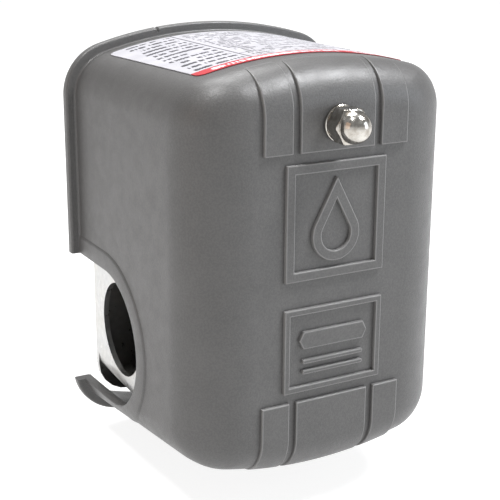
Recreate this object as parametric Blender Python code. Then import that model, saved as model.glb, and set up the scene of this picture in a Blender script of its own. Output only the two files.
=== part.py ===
"""Pressure switch with a pull-off plastic cover, modelled piece by piece.

Metres, +Z up. The origin is the centre of the pressure port's mouth. +Y is the port's axis,
pointing out of the back of the switch, +X is to the right when the front is looked at, and the
cover pulls off towards -Y. Pieces that touch on the real switch keep GAP of air between them.
"""
from math import atan2, cos, pi, sin, sqrt

import bmesh
import bpy
from mathutils import Matrix, Vector

MM = 0.001
GAP = 0.3 * MM

# Cover: a deep tray, open at the back, with arched top and bottom walls
FRONT_Y = -81.0 * MM
REAR_Y = -19.1 * MM
WALL = 1.9 * MM
HALF_WIDTH_FRONT = 31.0 * MM
HALF_WIDTH_REAR = 33.8 * MM
ROOF_Z = 48.1 * MM
FLOOR_FRONT_Z = -40.5 * MM
FLOOR_REAR_Z = -47.8 * MM
ARCH_RADIUS = 94.0 * MM
CORNER_RADIUS = 10.0 * MM
EDGE_RADIUS = 9.0 * MM
SIDE_EDGE_RADIUS = 13.0 * MM
LIP_PROUD = 2.2 * MM
LIP_DEPTH = 2.4 * MM
NOTCH_Y = -36.0 * MM
NOTCH_Z = -20.0 * MM
NOTCH_RADIUS = 16.5 * MM

# Raised work on the cover's front
RELIEF = 0.8 * MM
RELIEF_ROOT = 0.6 * MM
BAND_EDGES = ((-16.8 * MM, -10.4 * MM), (-8.7 * MM, 8.7 * MM), (10.4 * MM, 16.8 * MM))
BAND_TOP_FOOT = 30.3 * MM
BAND_BOTTOM_HEAD = -22.7 * MM
EMBLEM_HALF_WIDTH = 11.75 * MM
EMBLEM_LOW, EMBLEM_HIGH = 3.8 * MM, 28.1 * MM
EMBLEM_BORDER = 2.0 * MM
NAMEPLATE_LOW, NAMEPLATE_HIGH = -20.5 * MM, -2.2 * MM
NAMEPLATE_BORDER = 1.3 * MM

# Open water drop on the emblem, and the nameplate's bars as (low, high, half width, slant of the ends)
DROP_RADIUS, DROP_HEIGHT, DROP_STROKE = 5.6 * MM, 12.0 * MM, 2.1 * MM
DROP_Z = EMBLEM_LOW + 9.0 * MM
PLATE_BARS = (
    (-11.1 * MM, -7.3 * MM, 8.2 * MM, 0.9 * MM),
    (-14.4 * MM, -13.5 * MM, 7.4 * MM, 0.2 * MM),
    (-16.7 * MM, -15.8 * MM, 7.4 * MM, 0.2 * MM),
)

# Label on the roof
LABEL_HALF_WIDTH_REAR = 26.6 * MM
LABEL_HALF_WIDTH_FRONT = 24.6 * MM
LABEL_REAR_Y = -25.2 * MM
LABEL_FRONT_Y = -68.9 * MM
LABEL_THICKNESS = 0.2 * MM

# Steel frame: back plate with two ears that carry the conduit holes
SHEET = 1.3 * MM
PLATE_REAR_Y = -19.9 * MM
PLATE_FRONT_Y = -21.5 * MM
PLATE_HALF_WIDTH = 29.9 * MM
PLATE_TOP = 42.0 * MM
PLATE_BOTTOM = -41.2 * MM
PLATE_CORNER = 9.0 * MM
PLATE_FOOT_CORNER = 8.0 * MM
EAR_TOP = 2.0 * MM
EAR_FRONT_Y = -54.0 * MM
EAR_BEND_Z = -30.0 * MM
EAR_BEND_RADIUS = 6.0 * MM
EAR_LIP_X = 21.6 * MM
CONDUIT_Y, CONDUIT_Z = -37.0 * MM, -18.5 * MM
CONDUIT_RADIUS = 11.11 * MM

# Pressure port, diaphragm and piston
PORT_FLANGE_RADIUS = 18.2 * MM
PORT_FLANGE_REAR_Y = -13.0 * MM
PORT_HEX = 19.0 * MM
PORT_BORE_RADIUS = 5.6 * MM
CHAMBER_RADIUS = 11.0 * MM
DIAPHRAGM_THICKNESS = 0.7 * MM
PISTON_RADIUS = 8.0 * MM
PISTON_STEM_RADIUS = 4.0 * MM
FLANGE_SCREW_CIRCLE = 15.0 * MM

# Lever, its springs and their studs
PIVOT_Y, PIVOT_Z = -25.5 * MM, -14.0 * MM
PIVOT_PIN_RADIUS = 1.35 * MM
LEVER_REAR_Y = -27.2 * MM
LEVER_FRONT_Y = -28.7 * MM
LEVER_HALF_WIDTH = 11.0 * MM
RANGE_Z = 35.8 * MM
RANGE_STUD_RADIUS = 2.05 * MM
DIFFERENTIAL_Z = 22.0 * MM
DIFFERENTIAL_STUD_RADIUS = 1.75 * MM

# Contact block in the lower half
BLOCK_HALF_WIDTH = 21.0 * MM
BLOCK_REAR_Y, BLOCK_FRONT_Y = -33.0 * MM, -45.0 * MM
BLOCK_TOP, BLOCK_BOTTOM = -7.0 * MM, -38.0 * MM
TERMINAL_PITCH = 10.4 * MM
TERMINAL_XS = [TERMINAL_PITCH * (k - 1.5) for k in range(4)]
TERMINAL_HALF_WIDTH = 3.2 * MM
TERMINAL_BAR_LOW, TERMINAL_BAR_HIGH = -21.0 * MM, -18.6 * MM
TERMINAL_SCREW_Z = -13.5 * MM
BLOCK_SCREW_X, BLOCK_SCREW_Z = 16.0 * MM, -34.5 * MM
CARRIER_Y, CARRIER_Z = -27.0 * MM, -27.5 * MM
CARRIER_PIN_RADIUS = 1.2 * MM
CARRIER_HALF_WIDTH = 14.8 * MM
GROUND_SCREW_X, GROUND_SCREW_Z = 24.5 * MM, 9.0 * MM

SCREW_RADIUS = 1.7 * MM
SCREW_HOLE_RADIUS = 2.05 * MM


# ---------------------------------------------------------------- shape helpers

def spread(start, end, steps):
    """Return steps + 1 evenly spaced values from start to end."""
    return [start + (end - start) * k / steps for k in range(steps + 1)]


def circle(radius, count=16, turn=0.0):
    """Points of a circle about the origin, as pairs."""
    angles = [turn + 2 * pi * k / count for k in range(count)]
    return [(radius * cos(a), radius * sin(a)) for a in angles]


def hexagon(across_flats, count=24, limit=None):
    """A hexagon with level flats, its corners cut back to the radius given as limit."""
    points = []
    for k in range(count):
        angle = 2 * pi * k / count
        off_flat = angle % (pi / 3) - pi / 6
        radius = across_flats / 2 / cos(off_flat)
        if limit is not None:
            radius = min(radius, limit)
        points.append((radius * cos(angle), radius * sin(angle)))
    return points


def rectangle(x0, x1, z0, z1):
    """Corner points of a rectangle, as pairs."""
    return [(x0, z0), (x1, z0), (x1, z1), (x0, z1)]


def along_y(points, y, x=0.0, z=0.0):
    """Stand pairs (x, z) up as a ring at the given y."""
    return [Vector((x + p[0], y, z + p[1])) for p in points]


def along_x(points, x):
    """Stand pairs (y, z) up as a ring at the given x."""
    return [Vector((x, p[0], p[1])) for p in points]


def add_loft(bm, rings, capped=True):
    """Skin a list of rings of equal length; without caps the last ring joins the first."""
    loops = [[bm.verts.new(p) for p in ring] for ring in rings]
    pairs = list(zip(loops, loops[1:]))
    if not capped:
        pairs.append((loops[-1], loops[0]))
    faces = []
    for first, second in pairs:
        count = len(first)
        for k in range(count):
            n = (k + 1) % count
            faces.append(bm.faces.new((first[k], first[n], second[n], second[k])))
    if capped:
        faces.append(bm.faces.new(loops[0]))
        faces.append(bm.faces.new(loops[-1]))
    bmesh.ops.recalc_face_normals(bm, faces=faces)


def add_prism_y(bm, points, y0, y1):
    """A straight prism of an (x, z) outline between two y planes."""
    add_loft(bm, [along_y(points, y0), along_y(points, y1)])


def add_prism_x(bm, points, x0, x1):
    """A straight prism of a (y, z) outline between two x planes."""
    add_loft(bm, [along_x(points, x0), along_x(points, x1)])


def add_rod_y(bm, radius, y0, y1, x=0.0, z=0.0, count=16):
    """A round rod along Y."""
    add_loft(bm, [along_y(circle(radius, count), y, x, z) for y in (y0, y1)])


def add_turned(bm, profile, x=0.0, z=0.0, count=16, capped=True):
    """A turned piece along Y from (radius, y) pairs; uncapped, the profile is closed."""
    rings = [along_y(circle(radius, count), y, x, z) for radius, y in profile]
    add_loft(bm, rings, capped)


def material(name, color, roughness, metallic=0.0):
    """One Principled material, made once and shared."""
    found = bpy.data.materials.get(name)
    if found:
        return found
    made = bpy.data.materials.new(name)
    made.use_nodes = True
    shader = made.node_tree.nodes["Principled BSDF"]
    shader.inputs["Base Color"].default_value = (*color, 1.0)
    shader.inputs["Roughness"].default_value = roughness
    shader.inputs["Metallic"].default_value = metallic
    return made


def cover_plastic():
    return material("cover_plastic", (0.16, 0.16, 0.16), 0.45)


def label_paper():
    return material("label_paper", (0.75, 0.73, 0.78), 0.5)


def nickel():
    return material("nickel", (0.72, 0.70, 0.66), 0.15, 1.0)


def zinc():
    return material("zinc", (0.62, 0.61, 0.58), 0.35, 1.0)


def spring_steel():
    return material("spring_steel", (0.35, 0.35, 0.36), 0.3, 1.0)


def brass():
    return material("brass", (0.70, 0.52, 0.24), 0.3, 1.0)


def phenolic():
    return material("phenolic", (0.02, 0.02, 0.02), 0.4)


def rubber():
    return material("rubber", (0.03, 0.03, 0.03), 0.8)


def green_zinc():
    return material("green_zinc", (0.05, 0.30, 0.10), 0.35, 0.8)


def make(name, bm, finish, origin=(0.0, 0.0, 0.0)):
    """Turn a bmesh into an object whose origin sits at the given point."""
    mesh = bpy.data.meshes.new(name)
    bm.to_mesh(mesh)
    bm.free()
    mesh.transform(Matrix.Translation(-Vector(origin)))
    mesh.shade_smooth()
    mesh.set_sharp_from_angle(angle=pi / 6)
    mesh.materials.append(finish)
    piece = bpy.data.objects.new(name, mesh)
    piece.location = origin
    bpy.context.scene.collection.objects.link(piece)
    return piece


def combine(piece, bm, operation):
    """Cut a hidden tool body from a piece (DIFFERENCE) or weld it on (UNION)."""
    name = f"{piece.name}_{operation.lower()}"
    tool = make(name, bm, piece.data.materials[0])
    tool.hide_render = True
    tool.display_type = "WIRE"
    step = piece.modifiers.new(operation.title(), "BOOLEAN")
    step.operation = operation
    step.object = tool


def attach(child, parent):
    """Parent a piece to another and keep it where it is."""
    child.parent = parent
    child.matrix_parent_inverse = Matrix.Translation(-parent.location)


# ---------------------------------------------------------------- cover

ARCH_STEPS = 14
CORNER_STEPS = 5
ROUND_STEPS = 5


def depth_share(y):
    """0 at the cover's back edge and 1 at its front face."""
    return (REAR_Y - y) / (REAR_Y - FRONT_Y)


def half_width(y):
    return HALF_WIDTH_REAR + (HALF_WIDTH_FRONT - HALF_WIDTH_REAR) * depth_share(y)


def floor_level(y):
    return FLOOR_REAR_Z + (FLOOR_FRONT_Z - FLOOR_REAR_Z) * depth_share(y)


def arch_level(x, crest, inset=0.0):
    """Height of an arched wall at x, for a crest height and a distance inside it."""
    return crest - ARCH_RADIUS + sqrt((ARCH_RADIUS - inset) ** 2 - x * x)


def arched_edge(half, crest, radius, corner):
    """Points from the right side, round the corner, over the arch, to the left side."""
    centre_z = crest - radius
    corner_x = half - corner
    corner_z = centre_z + sqrt((radius - corner) ** 2 - corner_x ** 2)
    meet = atan2(corner_z - centre_z, corner_x)
    turn = spread(0.0, meet, CORNER_STEPS)
    right = [(corner_x + corner * cos(a), corner_z + corner * sin(a)) for a in turn]
    sweep = spread(meet, pi - meet, ARCH_STEPS)[1:-1]
    arch = [(radius * cos(a), centre_z + radius * sin(a)) for a in sweep]
    left = [(-x, z) for x, z in reversed(right)]
    return right + arch + left


def rounded_off(depth, radius):
    """How far an edge of this radius has drawn in at a depth behind the front face."""
    if depth >= radius:
        return 0.0
    return radius - sqrt(radius ** 2 - (radius - depth) ** 2)


def cover_ring(y, inset):
    """The cover's cross-section at y, moved inwards by inset; its front edges are round."""
    depth = max(y - FRONT_Y - max(inset, 0.0), 0.0)
    inner = max(inset, 0.0)
    side = inset + rounded_off(depth, SIDE_EDGE_RADIUS - inner)
    level = rounded_off(depth, EDGE_RADIUS - inner)
    corner = max(CORNER_RADIUS - inset - 0.8 * level, 1.0 * MM)
    half = half_width(y) - side
    level += inset
    radius = ARCH_RADIUS - level
    top = arched_edge(half, ROOF_Z - level, radius, corner)
    bottom = arched_edge(half, -floor_level(y) - level, radius, corner)
    return along_y(top + [(x, -z) for x, z in reversed(bottom)], y)


def front_rounding(radius, front_y, steps=ROUND_STEPS):
    """(y, inset) pairs of the rounded front edge, from the wall to the face."""
    turn = spread(0.0, pi / 2, steps)
    return [(front_y + radius * (1 - sin(a)), radius * (1 - cos(a))) for a in turn]


def cover_shell(bm):
    """The tray with its lip: one skin from the inside of the front round to its outside."""
    steps = ROUND_STEPS + 2
    inner = [(y, WALL) for y, _ in front_rounding(SIDE_EDGE_RADIUS - WALL, FRONT_Y + WALL, steps)]
    lip = [(REAR_Y, WALL), (REAR_Y, -LIP_PROUD), (REAR_Y - LIP_DEPTH, -LIP_PROUD)]
    outer = [(REAR_Y - LIP_DEPTH, 0.0)]
    outer += [(y, 0.0) for y, _ in front_rounding(SIDE_EDGE_RADIUS, FRONT_Y, steps)]
    rings = [cover_ring(y, inset) for y, inset in inner[::-1] + lip + outer]
    add_loft(bm, rings)


def add_band(bm, x0, x1, at_top):
    """A raised band that climbs from the front face over the rounded edge and fades out."""
    sink = 0.04 * MM
    rounding = front_rounding(EDGE_RADIUS, FRONT_Y - RELIEF)
    rings = []
    for x in spread(x0, x1, 4):
        outside = []
        inside = []
        for y, inset in rounding:
            if at_top:
                level = arch_level(x, ROOF_Z, inset + sink)
                root = level - RELIEF - RELIEF_ROOT
            else:
                level = -arch_level(x, -floor_level(y), inset + sink)
                root = level + RELIEF + RELIEF_ROOT
            outside.append((y, level))
            inside.append((y + RELIEF + RELIEF_ROOT, root))
        foot = BAND_TOP_FOOT if at_top else BAND_BOTTOM_HEAD
        outside.append((FRONT_Y - RELIEF, foot))
        inside.append((FRONT_Y + RELIEF_ROOT, foot))
        rings.append(along_x(outside + inside[::-1], x))
    add_loft(bm, rings)


def add_border(bm, low, high, border):
    """A raised rectangular border on the front face."""
    half = EMBLEM_HALF_WIDTH
    outer = rectangle(-half, half, low, high)
    inner = rectangle(border - half, half - border, low + border, high - border)
    front, back = FRONT_Y - RELIEF, FRONT_Y + RELIEF_ROOT
    rings = [along_y(inner, front), along_y(outer, front), along_y(outer, back), along_y(inner, back)]
    add_loft(bm, rings, capped=False)


def drop_outline(radius):
    """A water drop about its belly's centre: round below, running up to a point."""
    height = DROP_HEIGHT * radius / DROP_RADIUS
    lean = atan2(radius, height)
    belly = spread(pi - lean, 2 * pi + lean, 14)
    points = [(radius * cos(a), radius * sin(a)) for a in belly] + [(0.0, height)]
    return [(x, z + DROP_Z) for x, z in points]


def bar_outline(low, high, half, slant):
    """A level bar whose ends come to a blunt point."""
    middle = (low + high) / 2
    near = half - slant
    return [(-near, low), (near, low), (half, middle), (near, high), (-near, high), (-half, middle)]


def add_front_relief(bm):
    """Bands, emblem with its drop, and nameplate with its plain bars."""
    for x0, x1 in BAND_EDGES:
        add_band(bm, x0, x1, at_top=True)
        add_band(bm, x0, x1, at_top=False)
    add_border(bm, EMBLEM_LOW, EMBLEM_HIGH, EMBLEM_BORDER)
    add_border(bm, NAMEPLATE_LOW, NAMEPLATE_HIGH, NAMEPLATE_BORDER)
    front, back = FRONT_Y - RELIEF, FRONT_Y + RELIEF_ROOT
    outer, inner = drop_outline(DROP_RADIUS), drop_outline(DROP_RADIUS - DROP_STROKE)
    places = ((outer, front), (outer, back), (inner, back), (inner, front))
    add_loft(bm, [along_y(points, y) for points, y in places], capped=False)
    for low, high, half, slant in PLATE_BARS:
        add_prism_y(bm, bar_outline(low, high, half, slant), front, back)


def notch_outline():
    """(y, z) outline of the side notch: a half circle, open towards the back."""
    arc = spread(-pi / 2, -3 * pi / 2, 16)
    nose = [(NOTCH_Y + NOTCH_RADIUS * cos(a), NOTCH_Z + NOTCH_RADIUS * sin(a)) for a in arc]
    behind = REAR_Y + 5 * MM
    return nose + [(behind, NOTCH_Z + NOTCH_RADIUS), (behind, NOTCH_Z - NOTCH_RADIUS)]


def cover():
    bm = bmesh.new()
    cover_shell(bm)
    piece = make("cover", bm, cover_plastic())
    relief = bmesh.new()
    add_front_relief(relief)
    combine(piece, relief, "UNION")
    cuts = bmesh.new()
    for side in (-1, 1):
        add_prism_x(cuts, notch_outline(), side * 25 * MM, side * 45 * MM)
    add_rod_y(cuts, RANGE_STUD_RADIUS + 1.5 * GAP, FRONT_Y - 3 * MM, FRONT_Y + 5 * MM, z=RANGE_Z)
    combine(piece, cuts, "DIFFERENCE")
    return piece


def info_label():
    """A thin sheet bent over the roof, a little narrower towards the front."""
    bm = bmesh.new()
    rings = []
    for y in spread(LABEL_REAR_Y, LABEL_FRONT_Y, 1):
        share = (LABEL_REAR_Y - y) / (LABEL_REAR_Y - LABEL_FRONT_Y)
        half = LABEL_HALF_WIDTH_REAR + share * (LABEL_HALF_WIDTH_FRONT - LABEL_HALF_WIDTH_REAR)
        xs = spread(-half, half, 12)
        under = [(x, arch_level(x, ROOF_Z, -GAP)) for x in xs]
        over = [(x, arch_level(x, ROOF_Z, -GAP - LABEL_THICKNESS)) for x in reversed(xs)]
        rings.append(along_y(under + over, y))
    add_loft(bm, rings)
    return make("info_label", bm, label_paper())


def cap_nut():
    """An acorn nut: blind bore, washer face, hexagon and dome, as one skin."""
    seat = FRONT_Y - RELIEF - GAP
    flats, dome, washer = 7.0 * MM, 3.3 * MM, 3.8 * MM
    tip = seat - 8.6 * MM
    dome_base = tip + dome * 1.05
    bore = RANGE_STUD_RADIUS + GAP
    corner = flats / sqrt(3)
    rings = [along_y(circle(bore, 24), y) for y in (seat - 5.4 * MM, seat)]
    rings += [along_y(circle(washer, 24), y) for y in (seat, seat - 0.7 * MM)]
    rings.append(along_y(hexagon(flats, limit=flats / 2 * 1.03), seat - 0.7 * MM))
    rings.append(along_y(hexagon(flats, limit=corner), seat - 1.1 * MM))
    rings.append(along_y(hexagon(flats, limit=corner), dome_base + 0.5 * MM))
    rings.append(along_y(hexagon(flats, limit=flats / 2 * 1.03), dome_base + 0.1 * MM))
    for a in spread(0.0, pi / 2 * 0.9, 5):
        rings.append(along_y(circle(dome * cos(a), 24), dome_base - dome * 1.05 * sin(a)))
    centred = [[p + Vector((0.0, 0.0, RANGE_Z)) for p in ring] for ring in rings]
    bm = bmesh.new()
    add_loft(bm, centred)
    return make("cap_nut", bm, nickel(), origin=(0.0, seat, RANGE_Z))


# ---------------------------------------------------------------- steel frame

def plate_outline():
    """Back plate with round corners."""
    centre_x, centre_z = PLATE_HALF_WIDTH - PLATE_CORNER, PLATE_TOP - PLATE_CORNER
    turn = spread(0.0, pi / 2, 5)
    right = [(centre_x + PLATE_CORNER * cos(a), centre_z + PLATE_CORNER * sin(a)) for a in turn]
    left = [(-x, z) for x, z in reversed(right)]
    foot_x, foot_z = PLATE_HALF_WIDTH - PLATE_FOOT_CORNER, PLATE_BOTTOM + PLATE_FOOT_CORNER
    round_foot = spread(pi, 3 * pi / 2, 5)
    foot = [(PLATE_FOOT_CORNER * cos(a) - foot_x, PLATE_FOOT_CORNER * sin(a) + foot_z) for a in round_foot]
    return right + left + foot + [(-x, z) for x, z in reversed(foot)]


def ear_outline(side):
    """(x, z) outline of an ear: straight down, then bent inwards at its foot."""
    turn = spread(0.0, -pi / 2, 5)
    bend_x = PLATE_HALF_WIDTH - EAR_BEND_RADIUS

    def bent(radius):
        return [(bend_x + radius * cos(a), EAR_BEND_Z + radius * sin(a)) for a in turn]

    outer = [(PLATE_HALF_WIDTH, EAR_TOP)] + bent(EAR_BEND_RADIUS)
    outer.append((EAR_LIP_X, EAR_BEND_Z - EAR_BEND_RADIUS))
    inner_radius = EAR_BEND_RADIUS - SHEET
    inner = [(PLATE_HALF_WIDTH - SHEET, EAR_TOP)] + bent(inner_radius)
    inner.append((EAR_LIP_X, EAR_BEND_Z - inner_radius))
    return [(side * x, z) for x, z in outer + inner[::-1]]


def lug_outline(y, z, radius):
    """(y, z) outline of a lug that stands on the plate and holds a pin at y, z."""
    turn = spread(-pi / 2, -3 * pi / 2, 8)
    root = PLATE_FRONT_Y + 0.5 * MM
    nose = [(y + radius * cos(a), z + radius * sin(a)) for a in turn]
    return nose + [(root, z + radius), (root, z - radius)]


def base_frame():
    bm = bmesh.new()
    add_prism_y(bm, plate_outline(), PLATE_FRONT_Y, PLATE_REAR_Y)
    piece = make("base_frame", bm, zinc())
    added = bmesh.new()
    for side in (-1, 1):
        add_prism_y(added, ear_outline(side), EAR_FRONT_Y, PLATE_FRONT_Y + 0.8 * MM)
        lever_lug = lug_outline(PIVOT_Y, PIVOT_Z, 3.2 * MM)
        add_prism_x(added, lever_lug, side * 12.5 * MM, side * 14.0 * MM)
        carrier_lug = lug_outline(CARRIER_Y, CARRIER_Z, 2.6 * MM)
        add_prism_x(added, carrier_lug, side * 15.2 * MM, side * 16.4 * MM)
    combine(piece, added, "UNION")
    cuts = bmesh.new()
    add_plate_holes(cuts)
    for side in (-1, 1):
        conduit = [(CONDUIT_Y + a, CONDUIT_Z + b) for a, b in circle(CONDUIT_RADIUS, 36)]
        add_prism_x(cuts, conduit, side * 27 * MM, side * 32 * MM)
        pivot = [(PIVOT_Y + a, PIVOT_Z + b) for a, b in circle(PIVOT_PIN_RADIUS + GAP, 12)]
        add_prism_x(cuts, pivot, side * 12 * MM, side * 14.5 * MM)
        pin = [(CARRIER_Y + a, CARRIER_Z + b) for a, b in circle(CARRIER_PIN_RADIUS + GAP, 12)]
        add_prism_x(cuts, pin, side * 14.9 * MM, side * 16.9 * MM)
    combine(piece, cuts, "DIFFERENCE")
    return piece


def add_plate_holes(bm):
    """Tools for every hole through the back plate."""
    y0, y1 = PLATE_FRONT_Y - 1 * MM, PLATE_REAR_Y + 1 * MM
    add_rod_y(bm, PISTON_RADIUS + 0.5 * MM, y0, y1, count=28)
    add_rod_y(bm, RANGE_STUD_RADIUS + GAP, y0, y1, z=RANGE_Z, count=12)
    add_rod_y(bm, DIFFERENTIAL_STUD_RADIUS + GAP, y0, y1, z=DIFFERENTIAL_Z, count=12)
    places = flange_screw_places()
    places += [(side * BLOCK_SCREW_X, BLOCK_SCREW_Z) for side in (-1, 1)]
    places += [(side * GROUND_SCREW_X, GROUND_SCREW_Z) for side in (-1, 1)]
    for x, z in places:
        add_rod_y(bm, SCREW_HOLE_RADIUS, y0, y1, x, z, count=12)


def flange_screw_places():
    """Four places on the flange's screw circle, at 45 degrees to the axes."""
    return circle(FLANGE_SCREW_CIRCLE, 4, pi / 4)


# ---------------------------------------------------------------- pressure side

def port_flange():
    """A round flange and a hexagon boss with the pressure port through both."""
    front = PLATE_REAR_Y + DIAPHRAGM_THICKNESS + 2 * GAP
    bm = bmesh.new()
    profile = [(PORT_FLANGE_RADIUS, front), (PORT_FLANGE_RADIUS, PORT_FLANGE_REAR_Y)]
    add_turned(bm, profile, count=36)
    piece = make("port_flange", bm, zinc())
    boss = bmesh.new()
    corner = PORT_HEX / sqrt(3)
    rings = [along_y(hexagon(PORT_HEX), y) for y in (PORT_FLANGE_REAR_Y - 1 * MM, -1.2 * MM)]
    rings.append(along_y(hexagon(PORT_HEX, limit=corner - 1.0 * MM), 0.0))
    add_loft(boss, rings)
    combine(piece, boss, "UNION")
    cuts = bmesh.new()
    waterway = [
        (CHAMBER_RADIUS, front - 1 * MM),
        (CHAMBER_RADIUS, front + 2.6 * MM),
        (2.6 * MM, front + 3.0 * MM),
        (2.6 * MM, PORT_FLANGE_REAR_Y),
        (PORT_BORE_RADIUS, PORT_FLANGE_REAR_Y + 0.6 * MM),
        (PORT_BORE_RADIUS, -1.0 * MM),
        (PORT_BORE_RADIUS + 2.0 * MM, 1.0 * MM),
    ]
    add_turned(cuts, waterway, count=24)
    for x, z in flange_screw_places():
        add_rod_y(cuts, SCREW_HOLE_RADIUS, front - 1 * MM, PORT_FLANGE_REAR_Y + 1 * MM, x, z, 12)
    combine(piece, cuts, "DIFFERENCE")
    return piece


def diaphragm():
    bm = bmesh.new()
    front = PLATE_REAR_Y + GAP
    rear = front + DIAPHRAGM_THICKNESS
    add_turned(bm, [(12.4 * MM, front), (12.4 * MM, rear)], count=28)
    return make("diaphragm", bm, rubber())


def piston():
    """A broad foot on the diaphragm and a domed stem that pushes the lever."""
    foot = PLATE_REAR_Y
    nose = LEVER_REAR_Y + GAP
    profile = [
        (PISTON_RADIUS, foot),
        (PISTON_RADIUS, foot - 2.4 * MM),
        (PISTON_STEM_RADIUS, foot - 2.9 * MM),
        (PISTON_STEM_RADIUS, nose + 0.9 * MM),
        (PISTON_STEM_RADIUS * 0.75, nose + 0.25 * MM),
        (PISTON_STEM_RADIUS * 0.35, nose),
    ]
    bm = bmesh.new()
    add_turned(bm, profile, count=24)
    return make("piston", bm, brass(), origin=(0.0, foot, 0.0))


# ---------------------------------------------------------------- fasteners

def add_screw(bm, x, z, seat, tip, head_radius, head_height, shank=SCREW_RADIUS):
    """A pan-head screw along Y; seat is under the head, and tip is the shank's end."""
    away = 1 if seat > tip else -1
    chamfer = 0.5 * MM * away
    profile = [
        (shank - 0.4 * MM, tip),
        (shank, tip + chamfer),
        (shank, seat),
        (head_radius, seat),
        (head_radius, seat + away * head_height * 0.55),
        (head_radius * 0.78, seat + away * head_height),
    ]
    add_turned(bm, profile, x, z, count=14)


def screw(name, x, z, seat, tip, head_radius, head_height, finish):
    """A slotted pan-head screw as its own piece."""
    bm = bmesh.new()
    add_screw(bm, x, z, seat, tip, head_radius, head_height)
    piece = make(name, bm, finish, origin=(x, seat, z))
    away = 1 if seat > tip else -1
    slot = bmesh.new()
    bottom = seat + away * head_height * 0.5
    above = seat + away * (head_height + 1 * MM)
    wide, narrow = head_radius + 1 * MM, 0.45 * MM
    add_prism_y(slot, rectangle(x - wide, x + wide, z - narrow, z + narrow), bottom, above)
    combine(piece, slot, "DIFFERENCE")
    return piece


def flange_screws():
    """Screws that clamp the port flange, from behind, through the back plate."""
    for number, (x, z) in enumerate(flange_screw_places(), 1):
        seat = PORT_FLANGE_REAR_Y + GAP
        tip = PLATE_FRONT_Y - 0.8 * MM
        screw(f"flange_screw_{number}", x, z, seat, tip, 2.8 * MM, 2.2 * MM, zinc())


def ground_screws():
    for name, side in (("left", -1), ("right", 1)):
        seat = PLATE_FRONT_Y - GAP
        tip = PLATE_REAR_Y + 1.2 * MM
        x = side * GROUND_SCREW_X
        screw(f"ground_screw_{name}", x, GROUND_SCREW_Z, seat, tip, 3.6 * MM, 2.5 * MM, green_zinc())


# ---------------------------------------------------------------- springs, studs and nuts

def coil(name, radius, wire, start, end, turns, place, sides=6, steps=14):
    """A compression spring; place(across, along, height) puts its points in the switch."""
    count = round(turns * steps)
    rise = (end - start) / (2 * pi * turns)
    length = sqrt(radius * radius + rise * rise)
    rings = []
    for k in range(count + 1):
        a = 2 * pi * turns * k / count
        centre = Vector((radius * cos(a), start + rise * a, radius * sin(a)))
        outward = Vector((cos(a), 0.0, sin(a)))
        side = Vector((rise * sin(a), radius, -rise * cos(a))) / length
        ring = []
        for b, c in circle(wire, sides):
            ring.append(place(centre + outward * b + side * c))
        rings.append(ring)
    bm = bmesh.new()
    add_loft(bm, rings)
    return make(name, bm, spring_steel(), origin=place(Vector((0.0, start, 0.0))))


def stud(name, radius, z, front_y):
    """A long stud with a round head behind the back plate."""
    seat = PLATE_REAR_Y + GAP
    profile = [
        (radius - 0.4 * MM, front_y),
        (radius, front_y + 0.5 * MM),
        (radius, seat),
        (radius + 1.4 * MM, seat),
        (radius + 1.4 * MM, seat + 0.8 * MM),
        (radius * 0.7, seat + 1.9 * MM),
    ]
    bm = bmesh.new()
    add_turned(bm, profile, z=z, count=14)
    return make(name, bm, zinc(), origin=(0.0, seat, z))


def spring_seat(name, z, face, radius, hub, bore):
    """A dished washer that carries the front end of a spring; face touches the spring."""
    back = face - 1.5 * MM
    profile = [
        (bore, face + 2.4 * MM),
        (hub, face + 2.4 * MM),
        (hub, face),
        (radius, face),
        (radius, back + 0.4 * MM),
        (radius - 0.4 * MM, back),
        (bore, back),
    ]
    bm = bmesh.new()
    add_turned(bm, profile, z=z, count=20, capped=False)
    return make(name, bm, zinc(), origin=(0.0, face, z))


def hex_nut(name, z, rear, thickness, across_flats, bore):
    """A chamfered nut whose rear face presses on a spring seat."""
    front = rear - thickness
    chamfer = across_flats * 0.045
    near = across_flats / 2 * 1.02
    rings = [
        along_y(circle(bore, 24), rear),
        along_y(hexagon(across_flats, limit=near), rear),
        along_y(hexagon(across_flats), rear - chamfer),
        along_y(hexagon(across_flats), front + chamfer),
        along_y(hexagon(across_flats, limit=near), front),
        along_y(circle(bore, 24), front),
    ]
    lifted = [[p + Vector((0.0, 0.0, z)) for p in ring] for ring in rings]
    bm = bmesh.new()
    add_loft(bm, lifted, capped=False)
    return make(name, bm, zinc(), origin=(0.0, rear, z))


def spring_set(name, z, stud_radius, stud_front, face, spring, nut_flats):
    """One adjustable spring: stud, coil, seat and nut; spring is (radius, wire, turns)."""
    radius, wire, turns = spring
    seat_name = "range_spring_seat" if name == "range" else f"{name}_seat"
    stud(f"{name}_stud", stud_radius, z, stud_front)
    start = LEVER_FRONT_Y - GAP - wire
    end = face + GAP + wire
    coil(f"{name}_spring", radius, wire, start, end, turns, lambda p: p + Vector((0.0, 0.0, z)))
    bore = stud_radius + GAP
    hub = radius - wire - 0.4 * MM
    seat = spring_seat(seat_name, z, face, radius + wire + 0.6 * MM, hub, bore)
    nut = hex_nut(f"{name}_nut", z, face - 1.5 * MM - GAP, 4.0 * MM, nut_flats, bore)
    attach(nut, seat)


def adjusting_springs():
    """The long range stud also holds the cover; the differential set is smaller."""
    spring_set(
        "range", RANGE_Z, RANGE_STUD_RADIUS, FRONT_Y - RELIEF - 5.2 * MM,
        -52.3 * MM, (5.6 * MM, 0.9 * MM, 7.5), 9.5 * MM,
    )
    spring_set(
        "differential", DIFFERENTIAL_Z, DIFFERENTIAL_STUD_RADIUS, -58.0 * MM,
        -45.8 * MM, (4.0 * MM, 0.6 * MM, 7.0), 7.0 * MM,
    )


# ---------------------------------------------------------------- lever

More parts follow.
